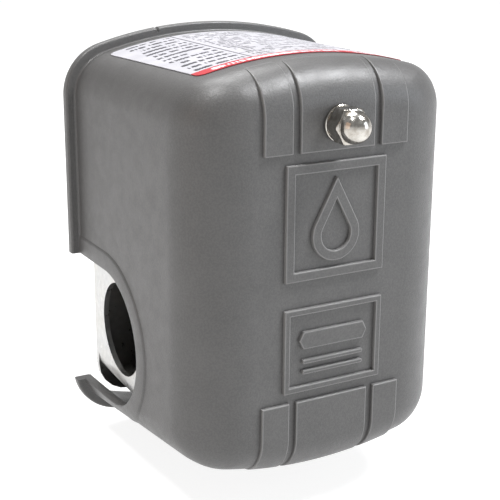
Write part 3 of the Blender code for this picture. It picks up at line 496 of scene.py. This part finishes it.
def half_width(y):
    """Half the cover's width at y; it narrows towards the front."""
    return HALF_WIDTH_REAR + (HALF_WIDTH_FRONT - HALF_WIDTH_REAR) * depth_share(y)


def floor_level(y):
    """Height of the floor's lowest line at y; it climbs towards the front."""
    return FLOOR_REAR_Z + (FLOOR_FRONT_Z - FLOOR_REAR_Z) * depth_share(y)


def rounded_off(depth, radius):
    """How far an edge of this radius has drawn in at a depth behind the front face."""
    if depth >= radius:
        return 0.0
    return radius - sqrt(radius ** 2 - (radius - depth) ** 2)


def arch_level(x, crest, inset=0.0):
    """Height of an arched wall at x, for a crest height and a distance inside it."""
    return crest - ARCH_RADIUS + sqrt((ARCH_RADIUS - inset) ** 2 - x * x)


def corner_centre(half, crest, radius, corner):
    """(x, z) of the arc that joins an upright side to an arch."""
    across = half - corner
    return across, crest - radius + sqrt((radius - corner) ** 2 - across ** 2)


def arched_edge(half, crest, radius, corner):
    """Points from the right side, round the corner, over the arch, to the left side."""
    centre_z = crest - radius
    corner_x, corner_z = corner_centre(half, crest, radius, corner)
    meet = atan2(corner_z - centre_z, corner_x)
    turn = spread(0.0, meet, CORNER_STEPS)
    right = [(corner_x + corner * cos(a), corner_z + corner * sin(a)) for a in turn]
    sweep = spread(meet, pi - meet, ARCH_STEPS)[1:-1]
    arch = [(radius * cos(a), centre_z + radius * sin(a)) for a in sweep]
    return right + arch + [(-x, z) for x, z in reversed(right)]


def cover_ring(y, inset):
    """The cover's cross-section at y, moved inwards by inset; its front edges are round."""
    least_corner = 1.0 * MM
    corner_tightening = 0.8
    inner = max(inset, 0.0)
    depth = max(y - FRONT_Y - inner, 0.0)
    side = inset + rounded_off(depth, SIDE_EDGE_RADIUS - inner)
    level = rounded_off(depth, EDGE_RADIUS - inner)
    corner = max(CORNER_RADIUS - inset - corner_tightening * level, least_corner)
    half = half_width(y) - side
    level += inset
    radius = ARCH_RADIUS - level
    top = arched_edge(half, ROOF_Z - level, radius, corner)
    bottom = arched_edge(half, -floor_level(y) - level, radius, corner)
    points = top + [(x, -z) for x, z in reversed(bottom)]
    ring = []
    for k, point in enumerate(points):
        ring.append(point)
        follower = points[(k + 1) % len(points)]
        if k in (len(top) - 1, len(points) - 1):
            for share in spread(0.0, 1.0, WALL_STEPS)[1:-1]:
                ring.append((point[0], point[1] + (follower[1] - point[1]) * share))
    return along_y(ring, y)


def front_depths(radius, steps):
    """Depths behind the front face that follow a round edge, deepest first."""
    return [radius * (1 - sin(a)) for a in spread(0.0, pi / 2, steps)]


def lip_profile():
    """(y, inset) pairs over the lip, from inside the back edge out to the wall's root."""
    soft = 0.55 * MM
    bevel = 0.4 * MM
    y0, y1 = REAR_Y, REAR_Y - LIP_DEPTH
    quarter = spread(0.0, pi / 2, 5)
    pairs = [(y0 - bevel, WALL), (y0, WALL - bevel)]
    pairs += [(y0 - soft * (1 - cos(a)), -LIP_PROUD + soft * (1 - sin(a))) for a in quarter]
    pairs += [(y1 + soft * (1 - sin(a)), -LIP_PROUD + soft * (1 - cos(a))) for a in quarter]
    pairs += [(y1 - soft * (1 - cos(a)), -soft * (1 - sin(a))) for a in quarter]
    return pairs


def cover_shell(bm):
    """The tray with its lip: one skin from the inside of the front round to its outside."""
    deep = SIDE_EDGE_RADIUS - WALL
    inner = [(FRONT_Y + WALL + d, WALL) for d in front_depths(deep, ROUND_STEPS)]
    wall_front = FRONT_Y + SIDE_EDGE_RADIUS
    wall = [(y, 0.0) for y in spread(REAR_Y - LIP_DEPTH - 1 * MM, wall_front, WALL_STEPS)]
    outer = [(FRONT_Y + d, 0.0) for d in front_depths(SIDE_EDGE_RADIUS, ROUND_STEPS)[1:]]
    pairs = inner[::-1] + lip_profile() + wall + outer
    add_loft(bm, [cover_ring(y, inset) for y, inset in pairs])


def soft_heights():
    """(inset, height) pairs of a raised shape's side: out of the face and over a round edge."""
    pairs = [(0.0, -RELIEF_ROOT)]
    for a in spread(0.0, pi / 2, 4):
        pairs.append((SOFT_EDGE * (1 - cos(a)), RELIEF - SOFT_EDGE * (1 - sin(a))))
    pairs.append((SOFT_EDGE + 0.1 * MM, RELIEF))
    return pairs


def mark_painted_edge_highlight(piece, bend=10.0):
    """Store 1 on vertices of outward bends on the front and over its rounds, where a lighter colour
    paints edge highlights.
    """
    front_relief = 0.3 * MM
    middle_share = 0.8
    bm = bmesh.new()
    bm.from_mesh(piece.data)
    painted_edge_highlight = bm.verts.layers.float.new("painted_edge_highlight")
    for edge in bm.edges:
        faces = edge.link_faces
        if len(faces) != 2 or edge.calc_face_angle_signed(0.0) < radians(bend):
            continue
        for vert in edge.verts:
            on_front = vert.co.y < FRONT_Y - front_relief
            near_middle = abs(vert.co.x) < HALF_WIDTH_FRONT * middle_share
            if on_front or near_middle:
                vert[painted_edge_highlight] = 1.0
    bm.to_mesh(piece.data)
    bm.free()


def add_band(bm, x0, x1, at_top):
    """A raised band that climbs from the front face over the rounded edge and fades out."""
    sink = 0.05 * MM
    root = 1.2 * MM
    foot = BAND_TOP_FOOT if at_top else BAND_BOTTOM_HEAD
    sense = 1 if at_top else -1
    sides = soft_heights()
    stations = [(x0 + inset, height) for inset, height in sides]
    stations += [(x, RELIEF) for x in spread(x0 + SOFT_EDGE, x1 - SOFT_EDGE, 10)[1:-1]]
    stations += [(x1 - inset, height) for inset, height in reversed(sides)]
    rings = []
    for x, height in stations:
        outside = []
        for depth in front_depths(EDGE_RADIUS, 24):
            y = FRONT_Y - height + depth
            inset = rounded_off(depth, EDGE_RADIUS) + sink
            if at_top:
                level = arch_level(x, ROOF_Z, inset)
            else:
                level = -arch_level(x, -floor_level(y), inset)
            outside.append((y, level))
        for inset, lift in reversed(sides):
            outside.append((FRONT_Y - min(lift, height), foot + sense * inset))
        end_y, end_z = outside[0]
        inside = [(FRONT_Y + root, foot), (end_y + root, end_z - sense * root)]
        rings.append(along_x(outside + inside, x))
    add_loft(bm, rings)


def rectangle(half, low, high, grow=0.0):
    """Corner points of an upright rectangle about X = 0, grown on all sides."""
    w, z0, z1 = half + grow, low - grow, high + grow
    return [(-w, z0), (w, z0), (w, z1), (-w, z1)]


def add_border(bm, low, high, border):
    """A raised rectangular border with soft edges."""
    sides = soft_heights()
    grown = [(-inset, height) for inset, height in sides]
    grown += [(inset - border, height) for inset, height in reversed(sides)]
    outlines = [(rectangle(EMBLEM_HALF_WIDTH, low, high, g), height) for g, height in grown]
    add_loft(bm, [along_y(points, FRONT_Y - height) for points, height in outlines], capped=False)


def drop_outline(radius):
    """A water drop about its belly's centre: round below, running up to a point."""
    height = DROP_HEIGHT * radius / DROP_RADIUS
    lean = atan2(radius, height)
    belly = spread(pi - lean, 2 * pi + lean, 44)
    points = [(radius * cos(a), radius * sin(a)) for a in belly] + [(0.0, height)]
    return [(x, z + DROP_Z) for x, z in points]


def add_drop(bm):
    """The open water drop, its stroke rounded on both sides."""
    sides = soft_heights()
    core = DROP_RADIUS - DROP_STROKE
    rings = [along_y(drop_outline(DROP_RADIUS - i), FRONT_Y - h) for i, h in sides]
    rings += [along_y(drop_outline(core + i), FRONT_Y - h) for i, h in reversed(sides)]
    add_loft(bm, rings, capped=False)


def add_bar(bm, low, high, half, slant):
    """A raised level bar whose ends come to a blunt point."""
    middle = (low + high) / 2
    rings = []
    for inset, height in soft_heights():
        z0, z1, tip = low + inset, high - inset, half - inset
        near = tip - slant
        points = [(-near, z0), (near, z0), (tip, middle), (near, z1), (-near, z1), (-tip, middle)]
        rings.append(along_y(points, FRONT_Y - height))
    add_loft(bm, rings)


def add_front_relief(bm):
    """Bands, emblem with its drop, and nameplate with its plain bars."""
    for x0, x1 in BAND_EDGES:
        add_band(bm, x0, x1, at_top=True)
        add_band(bm, x0, x1, at_top=False)
    add_border(bm, EMBLEM_LOW, EMBLEM_HIGH, EMBLEM_BORDER)
    add_border(bm, NAMEPLATE_LOW, NAMEPLATE_HIGH, NAMEPLATE_BORDER)
    add_drop(bm)
    for low, high, half, slant in PLATE_BARS:
        add_bar(bm, low, high, half, slant)


def side_x(y, z):
    """Outer face of the right side wall at (y, z), rounding in near the roof and floor."""
    half = half_width(y)
    crest = ROOF_Z if z > 0 else -floor_level(y)
    across, start = corner_centre(half, crest, ARCH_RADIUS, CORNER_RADIUS)
    beyond = abs(z) - start
    if beyond <= 0:
        return half
    return across + sqrt(max(CORNER_RADIUS ** 2 - beyond ** 2, 0.0))


def notch_path(offset, rear, steps=48):
    """(y, z) points along the notch's edge, moved outwards by offset."""
    radius = NOTCH_RADIUS + offset
    arc = spread(-pi / 2, -3 * pi / 2, steps)
    nose = [(NOTCH_Y + radius * cos(a), NOTCH_Z + radius * sin(a)) for a in arc]
    runs = spread(rear, NOTCH_Y, 10)[:-1]
    lower = [(y, NOTCH_Z - radius) for y in runs]
    upper = [(y, NOTCH_Z + radius) for y in reversed(runs)]
    return lower + nose + upper


def add_notch_rim(bm, side):
    """A low flat margin round the notch that folds over the cut edge of the wall."""
    rear = REAR_Y - LIP_DEPTH + 0.6 * MM
    over = 0.14 * MM
    soft = 0.45 * MM
    # (offset from the cut edge, lift from the wall) pairs across the margin
    profile = [(0.6 * MM, -WALL - 0.05 * MM), (-over + 0.2 * MM, -WALL - 0.05 * MM)]
    profile += [(-over, -WALL + 0.25 * MM), (-over, RIM_PROUD - soft)]
    for a in spread(0.0, pi / 2, 4):
        profile.append((-over + soft * (1 - cos(a)), RIM_PROUD - soft * (1 - sin(a))))
    profile += [(RIM_WIDTH - 0.5 * MM, RIM_PROUD), (RIM_WIDTH - 0.15 * MM, RIM_PROUD * 0.72)]
    profile += [(RIM_WIDTH + 0.15 * MM, RIM_PROUD * 0.1), (RIM_WIDTH + 0.4 * MM, -0.15 * MM)]
    profile.append((RIM_WIDTH, -0.6 * MM))
    rings = []
    for offset, lift in profile:
        path = notch_path(offset, rear)
        rings.append([Vector((side * (side_x(y, z) + lift), y, z)) for y, z in path])
    turned = [list(points) for points in zip(*rings)]
    add_loft(bm, turned)


def add_cover_cuts(cuts):
    """Bodies to cut away: both notches, the stud's hole and the groove in the lip."""
    beyond = 5 * MM
    outline = notch_path(0.0, REAR_Y + beyond, 64)
    for side in (-1, 1):
        add_loft(cuts, [along_x(outline, side * 25 * MM), along_x(outline, side * 45 * MM)])
    hole = circle(STUD_HOLE_RADIUS, 40)
    add_loft(cuts, [along_y(hole, FRONT_Y + depth, z=NUT_Z) for depth in (-3 * MM, beyond)])
    foot = arch_level(GROOVE_X[0], ROOF_Z) + LIP_PROUD - GROOVE_DEPTH
    y0, y1 = REAR_Y - LIP_DEPTH - 0.5 * MM, REAR_Y + 1 * MM
    groove = [(y0, foot), (y1, foot), (y1, foot + beyond), (y0, foot + beyond)]
    add_loft(cuts, [along_x(groove, x) for x in GROOVE_X])


def cover(finish):
    """The cut tray, and its raised work and notch margins as a second piece."""
    bm = bmesh.new()
    cover_shell(bm)
    piece = make("cover_shell", bm, finish)
    cuts = bmesh.new()
    add_cover_cuts(cuts)
    carve(piece, cuts)
    relief = bmesh.new()
    add_front_relief(relief)
    for side in (-1, 1):
        add_notch_rim(relief, side)
    trim = make("cover_relief", relief, finish)
    # Marks the outward edges of the raised work that get the painted edge highlight
    mark_painted_edge_highlight(trim)
    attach(piece, "cover")
    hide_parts("cover")
    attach(trim, "cover")


def label(finish):
    """A thin printed sheet that lies on the roof and narrows towards the front."""
    low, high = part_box("info_label")
    bm = bmesh.new()
    rings = []
    corner = [LABEL_CORNER * (1 - cos(a)) for a in spread(0.0, pi / 2, 6)]
    stations = [high[1] - d for d in corner]
    stations += spread(high[1] - LABEL_CORNER, low[1] + LABEL_CORNER, 18)[1:-1]
    stations += [low[1] + d for d in reversed(corner)]
    for y in stations:
        share = (high[1] - y) / (high[1] - low[1])
        end = max(LABEL_CORNER - min(high[1] - y, y - low[1]), 0.0)
        half = high[0] - share * LABEL_TAPER - LABEL_CORNER
        half += sqrt(max(LABEL_CORNER ** 2 - end ** 2, 0.0))
        xs = spread(-half, half, 40)
        under = [(x, arch_level(x, ROOF_Z, -LABEL_LIFT)) for x in xs]
        over = [(x, arch_level(x, ROOF_Z, -LABEL_LIFT - LABEL_THICKNESS)) for x in reversed(xs)]
        rings.append(along_y(under + over, y))
    add_loft(bm, rings)
    piece = make("printed_label", bm, finish)
    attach(piece, "cover")
    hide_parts("info_label")


# ---------------------------------------------------------------- nuts, studs and springs

COIL_STEPS = 44
WIRE_SIDES = 12


def hexagon(across_flats, count, limit):
    """A hexagon with level flats and slightly blunted corners, cut back to the given limit."""
    blunt_from = across_flats / sqrt(3) - 0.06 * MM
    points = []
    for k in range(count):
        angle = 2 * pi * k / count
        off_flat = angle % (pi / 3) - pi / 6
        radius = across_flats / 2 / cos(off_flat)
        if radius > blunt_from:
            radius = blunt_from + (radius - blunt_from) * 0.3
        radius = min(radius, limit)
        points.append((radius * cos(angle), radius * sin(angle)))
    return points


def cap_nut(finish):
    """Polished acorn nut with washer face, chamfered hexagon, neck and full dome."""
    low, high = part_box("cap_nut")
    seat, tip = high[1], low[1]
    flats, dome, washer = 7.0 * MM, 3.32 * MM, 3.8 * MM
    core, core_depth = 2.3 * MM, 5.4 * MM
    chamfer, chamfer_steps = 0.45 * MM, 6
    soft = 0.15 * MM
    count = 96
    corner = flats / sqrt(3)
    reach = dome * 1.05
    dome_base = tip + reach
    rings = [along_y(circle(core, count), y) for y in (seat - core_depth, seat)]
    rings += [along_y(circle(r, count), y) for r, y in (
        (washer - soft, seat),
        (washer, seat - soft),
        (washer, seat - 0.55 * MM),
        (washer - soft, seat - 0.7 * MM),
    )]
    hex_front = dome_base + 0.25 * MM
    last = chamfer_steps - 1
    for k in range(chamfer_steps):
        limit = corner - chamfer * (1 - (k / last) ** 2) * 1.6
        rings.append(along_y(hexagon(flats, count, limit), seat - 0.72 * MM - 0.09 * MM * k))
    for k in range(chamfer_steps):
        limit = corner - chamfer * (k / last) ** 2 * 1.9
        rings.append(along_y(hexagon(flats, count, limit), hex_front + 0.11 * MM * (last - k)))
    rings.append(along_y(circle(dome + 0.12 * MM, count), dome_base + 0.12 * MM))
    for a in spread(0.0, pi / 2 * 0.985, 22):
        rings.append(along_y(circle(dome * cos(a), count), dome_base - reach * sin(a)))
    bm = bmesh.new()
    add_loft(bm, [[p + Vector((0.0, 0.0, NUT_Z)) for p in ring] for ring in rings])
    piece = make("acorn_nut", bm, finish, sharp=32.0)
    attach(piece, "cap_nut")
    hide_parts("cap_nut")


def threaded_stud(name, radius, finish):
    """A stud with a rolled 32-per-inch thread, and its round head behind the plate."""
    low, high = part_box(name)
    z = (low[2] + high[2]) / 2
    seat = high[1] - 1.9 * MM
    count, per_pitch = 20, 6
    depth, tip_bevel = 0.42 * MM, 0.5 * MM
    thread_end = seat - 9 * MM
    steps = round((thread_end - low[1] - tip_bevel) / THREAD_PITCH * per_pitch)
    rings = [along_y(circle(radius - tip_bevel, count), low[1])]
    for y in spread(low[1] + tip_bevel, thread_end, steps):
        ring = []
        for k in range(count):
            angle = 2 * pi * k / count
            phase = y / THREAD_PITCH + k / count
            ridge = abs(2 * (phase - floor(phase)) - 1)
            fade = min(1.0, (thread_end - y) / THREAD_PITCH)
            r = radius - depth * (1 - ridge) * fade
            ring.append(Vector((r * cos(angle), y, r * sin(angle))))
        rings.append(ring)
    head = (high[0] - low[0]) / 2
    rings += [along_y(circle(r, count), y) for r, y in (
        (radius, seat),
        (head, seat),
        (head, seat + 0.5 * MM),
        (head * 0.93, seat + 0.95 * MM),
        (head * 0.75, seat + 1.45 * MM),
        (head * 0.45, seat + 1.82 * MM),
        (head * 0.15, high[1]),
    )]
    bm = bmesh.new()
    add_loft(bm, [[p + Vector((0.0, 0.0, z)) for p in ring] for ring in rings])
    piece = make(name + "_threaded", bm, finish, sharp=40.0)
    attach(piece, "frame")
    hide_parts(name)


def coil(name, radius, wire, start, end, turns, place, finish):
    """A wound spring with closed end turns; place(p) puts its points in the switch."""
    count = round(turns * COIL_STEPS)
    gap = (end - start) / turns
    squeeze = 0.22 * gap
    stations = []
    for k in range(count + 1):
        t = turns * k / count
        tail = turns - t
        closing = sin(pi * t) if t < 1.0 else 0.0
        closing -= sin(pi * tail) if tail < 1.0 else 0.0
        y = start + gap * t - squeeze * closing
        a = 2 * pi * t
        centre = Vector((radius * cos(a), y, radius * sin(a)))
        stations.append((centre, Vector((cos(a), 0.0, sin(a)))))
    skin = []
    for k, (centre, outward) in enumerate(stations):
        ahead = stations[min(k + 1, count)][0] - stations[max(k - 1, 0)][0]
        side = ahead.cross(outward).normalized()
        section = circle(wire, WIRE_SIDES)
        skin.append([place(centre + outward * b + side * c) for b, c in section])
    bm = bmesh.new()
    add_loft(bm, skin)
    return make(name, bm, finish, sharp=50.0)


def adjusting_spring(name, wire, turns, finish):
    """A spring between lever and seat: its end turn tilts with the lever, the rest stays on the frame.

    The gap behind the end turn is what the lever takes up when it tilts.
    """
    low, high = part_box(name)
    z = (low[2] + high[2]) / 2
    radius = (high[0] - low[0]) / 2 - wire
    centre_y = high[1] - wire
    turn = [(radius * cos(a), radius * sin(a)) for a in spread(0.0, 2 * pi, 64)[:-1]]
    rings = []
    for x, up in turn:
        outward = Vector((x, 0.0, up)) / radius
        middle = Vector((x, centre_y, z + up))
        section = circle(wire, WIRE_SIDES)
        rings.append([middle + outward * b + Vector((0.0, c, 0.0)) for b, c in section])
    bm = bmesh.new()
    add_loft(bm, rings, capped=False)
    end_turn = make(name + "_end_turn", bm, finish, sharp=50.0)
    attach(end_turn, "lever")
    start = centre_y - 2 * wire - LEVER_GAP
    piece = coil(
        name + "_wound", radius, wire, start, low[1] + wire, turns,
        lambda p: p + Vector((0.0, 0.0, z)), finish,
    )
    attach(piece, "frame")
    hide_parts(name)
    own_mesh(piece)


def toggle_spring(finish):
    """The small upright spring between the lever's tongue and the carrier."""
    low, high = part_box("snap_spring")
    y = (low[1] + high[1]) / 2
    wire = 0.3 * MM
    radius = (high[0] - low[0]) / 2 - wire
    piece = coil(
        "snap_spring_wound", radius, wire, high[2] - wire, low[2] + wire, 4.0,
        lambda p: Vector((p.x, y + p.z, p.y)), finish,
    )
    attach(piece, "carrier")
    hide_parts("snap_spring")


# ---------------------------------------------------------------- carried-over CAD pieces

def soften(piece, width):
    """Fine rounded edges and clean shading on a CAD piece, without touching its mesh."""
    for polygon in piece.data.polygons:
        polygon.use_smooth = True
    weld = piece.modifiers.new("Weld", "WELD")
    weld.merge_threshold = 0.000002
    flat = piece.modifiers.new("Flat", "DECIMATE")
    flat.decimate_type = "DISSOLVE"
    flat.angle_limit = radians(0.5)
    if width:
        bevel = piece.modifiers.new("Bevel", "BEVEL")
        bevel.limit_method = "ANGLE"
        bevel.angle_limit = radians(38)
        bevel.width = width
        bevel.segments = 2
        bevel.miter_outer = "MITER_ARC"
        bevel.use_clamp_overlap = True
    shade = piece.modifiers.new("Shade", "WEIGHTED_NORMAL")
    shade.keep_sharp = False


def dress(groups):
    """Give each CAD piece that stays its finish."""
    for finish, width, names in groups:
        for name in names:
            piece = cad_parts[name]
            piece.data.materials.clear()
            piece.data.materials.append(finish)
            soften(piece, width)


# ---------------------------------------------------------------- studio

CAMERA_PLACE = Vector((-0.11585, -0.25827, 0.07630))
CAMERA_TURN = radians(27.12)
CAMERA_DROP = radians(14.76)
CAMERA_LENS = 77.61
CAMERA_SHIFT = (0.05, -0.11)

# Each lamp: name, place in metres, width and height, watts, colour
LAMPS = (
    ("left_fill", (-0.60, -0.10, 0.20), (0.35, 0.45), 0.25, (1.0, 0.60, 0.36)),
    ("corner_key", (-0.30, -0.10, 0.75), (0.10, 0.10), 3.8, (1.0, 1.0, 1.0)),
    ("top_key", (0.32, -0.26, 0.62), (0.18, 0.18), 6.6, (0.97, 0.98, 1.0)),
    ("roof_light", (0.05, 0.30, 0.70), (0.4, 0.4), 4.4, (1.0, 1.0, 1.0)),
    ("front_right", (0.50, -0.50, 0.20), (0.3, 0.4), 1.2, (0.82, 0.90, 1.0)),
)
LAMP_AIM = (0.0, -0.045, 0.0)

# World brightness at heights of a view direction: white at the horizon, dimmer above
WORLD_SHADES = ((0.0, 1.0), (0.12, 0.9), (0.3, 0.34))


def camera():
    """The camera, a long lens a little above and left of the switch."""
    data = bpy.data.cameras.new("camera")
    data.lens = CAMERA_LENS
    data.sensor_width = 36.0
    data.shift_x, data.shift_y = CAMERA_SHIFT
    data.clip_start, data.clip_end = 0.005, 20.0
    eye = bpy.data.objects.new("camera", data)
    eye.location = CAMERA_PLACE
    eye.rotation_euler = (pi / 2 - CAMERA_DROP, 0.0, -CAMERA_TURN)
    bpy.context.scene.collection.objects.link(eye)
    bpy.context.scene.camera = eye


def lamp(name, place, size, power, color):
    """A rectangular softbox that looks at the switch."""
    data = bpy.data.lights.new(name, "AREA")
    data.shape = "RECTANGLE"
    data.size, data.size_y = size
    data.energy = power
    data.color = color
    box = bpy.data.objects.new(name, data)
    box.location = place
    box.rotation_euler = (Vector(LAMP_AIM) - Vector(place)).to_track_quat("-Z", "Y").to_euler()
    bpy.context.scene.collection.objects.link(box)


def white_floor():
    """A floor just under the switch that glows white and takes a faint shadow."""
    n = Nodes("floor")
    finish = n.finish(
        Base_Color=(0.3, 0.3, 0.3),
        Roughness=0.9,
        Emission_Color=(1.0, 1.0, 1.0),
        Emission_Strength=0.85,
    )
    bm = bmesh.new()
    bmesh.ops.create_grid(bm, x_segments=1, y_segments=1, size=3.0)
    floor_piece = make("floor", bm, finish)
    floor_piece.location.z = cad_box[0][2] - 0.3 * MM


def bright_world():
    """A world that is white at the horizon and dimmer above."""
    world = bpy.data.worlds.new("studio")
    bpy.context.scene.world = world
    world.use_nodes = True
    tree = world.node_tree
    heading = tree.nodes.new("ShaderNodeTexCoord")
    split = tree.nodes.new("ShaderNodeSeparateXYZ")
    fade = tree.nodes.new("ShaderNodeValToRGB")
    tree.links.new(heading.outputs["Generated"], split.inputs[0])
    tree.links.new(split.outputs["Z"], fade.inputs[0])
    tree.links.new(fade.outputs[0], tree.nodes["Background"].inputs["Color"])
    fade.color_ramp.elements.new(WORLD_SHADES[1][0])
    for element, (place, shade) in zip(fade.color_ramp.elements, WORLD_SHADES):
        element.position = place
        element.color = (shade, shade, shade, 1.0)


def studio():
    """Floor, world and softboxes."""
    white_floor()
    bright_world()
    for name, place, size, power, color in LAMPS:
        lamp(name, place, size, power, color)
    bpy.context.scene.view_settings.view_transform = "Standard"


cover_finish = moulded_plastic()
zinc_finish = zinc_plate()
cast_finish = cast_zinc()
nickel_finish = polished_nickel()
brass_finish = brass()
phenolic_finish = phenolic()
spring_finish = spring_wire()
rubber_finish = nitrile()
green_finish = green_zinc()

camera()
cover(cover_finish)
label(printed_label())
cap_nut(nickel_finish)
threaded_stud("range_stud", 2.05 * MM, zinc_finish)
threaded_stud("differential_stud", 1.75 * MM, zinc_finish)
adjusting_spring("range_spring", 0.9 * MM, 6.5, spring_finish)
adjusting_spring("differential_spring", 0.6 * MM, 6.0, spring_finish)
toggle_spring(spring_finish)

# Groups of CAD pieces that share a finish and the width of their softened edges
fours = range(1, 5)
groups = (
    (zinc_finish, 0.12 * MM, ("base_frame", "operating_lever")),
    (zinc_finish, 0.1 * MM, ("range_spring_seat", "range_nut")),
    (zinc_finish, 0.1 * MM, ("differential_seat", "differential_nut")),
    (zinc_finish, 0.1 * MM, [f"clamp_plate_{k}" for k in fours]),
    (zinc_finish, 0.08 * MM, ("contact_block_screw_1", "contact_block_screw_2")),
    (zinc_finish, 0.08 * MM, [f"flange_screw_{k}" for k in fours]),
    (cast_finish, 0.2 * MM, ("port_flange",)),
    (rubber_finish, 0.0, ("diaphragm",)),
    (nickel_finish, 0.0, ("lever_pivot_pin", "carrier_pin")),
    (phenolic_finish, 0.15 * MM, ("contact_block",)),
    (phenolic_finish, 0.12 * MM, ("contact_carrier",)),
    (brass_finish, 0.0, ("piston",)),
    (brass_finish, 0.1 * MM, [f"terminal_{k}" for k in fours]),
    (brass_finish, 0.08 * MM, ("moving_contact_left", "moving_contact_right")),
    (brass_finish, 0.08 * MM, [f"terminal_screw_{k}" for k in fours]),
    (green_finish, 0.08 * MM, ("ground_screw_left", "ground_screw_right")),
)
dress(groups)
studio()

bpy.context.view_layer.update()
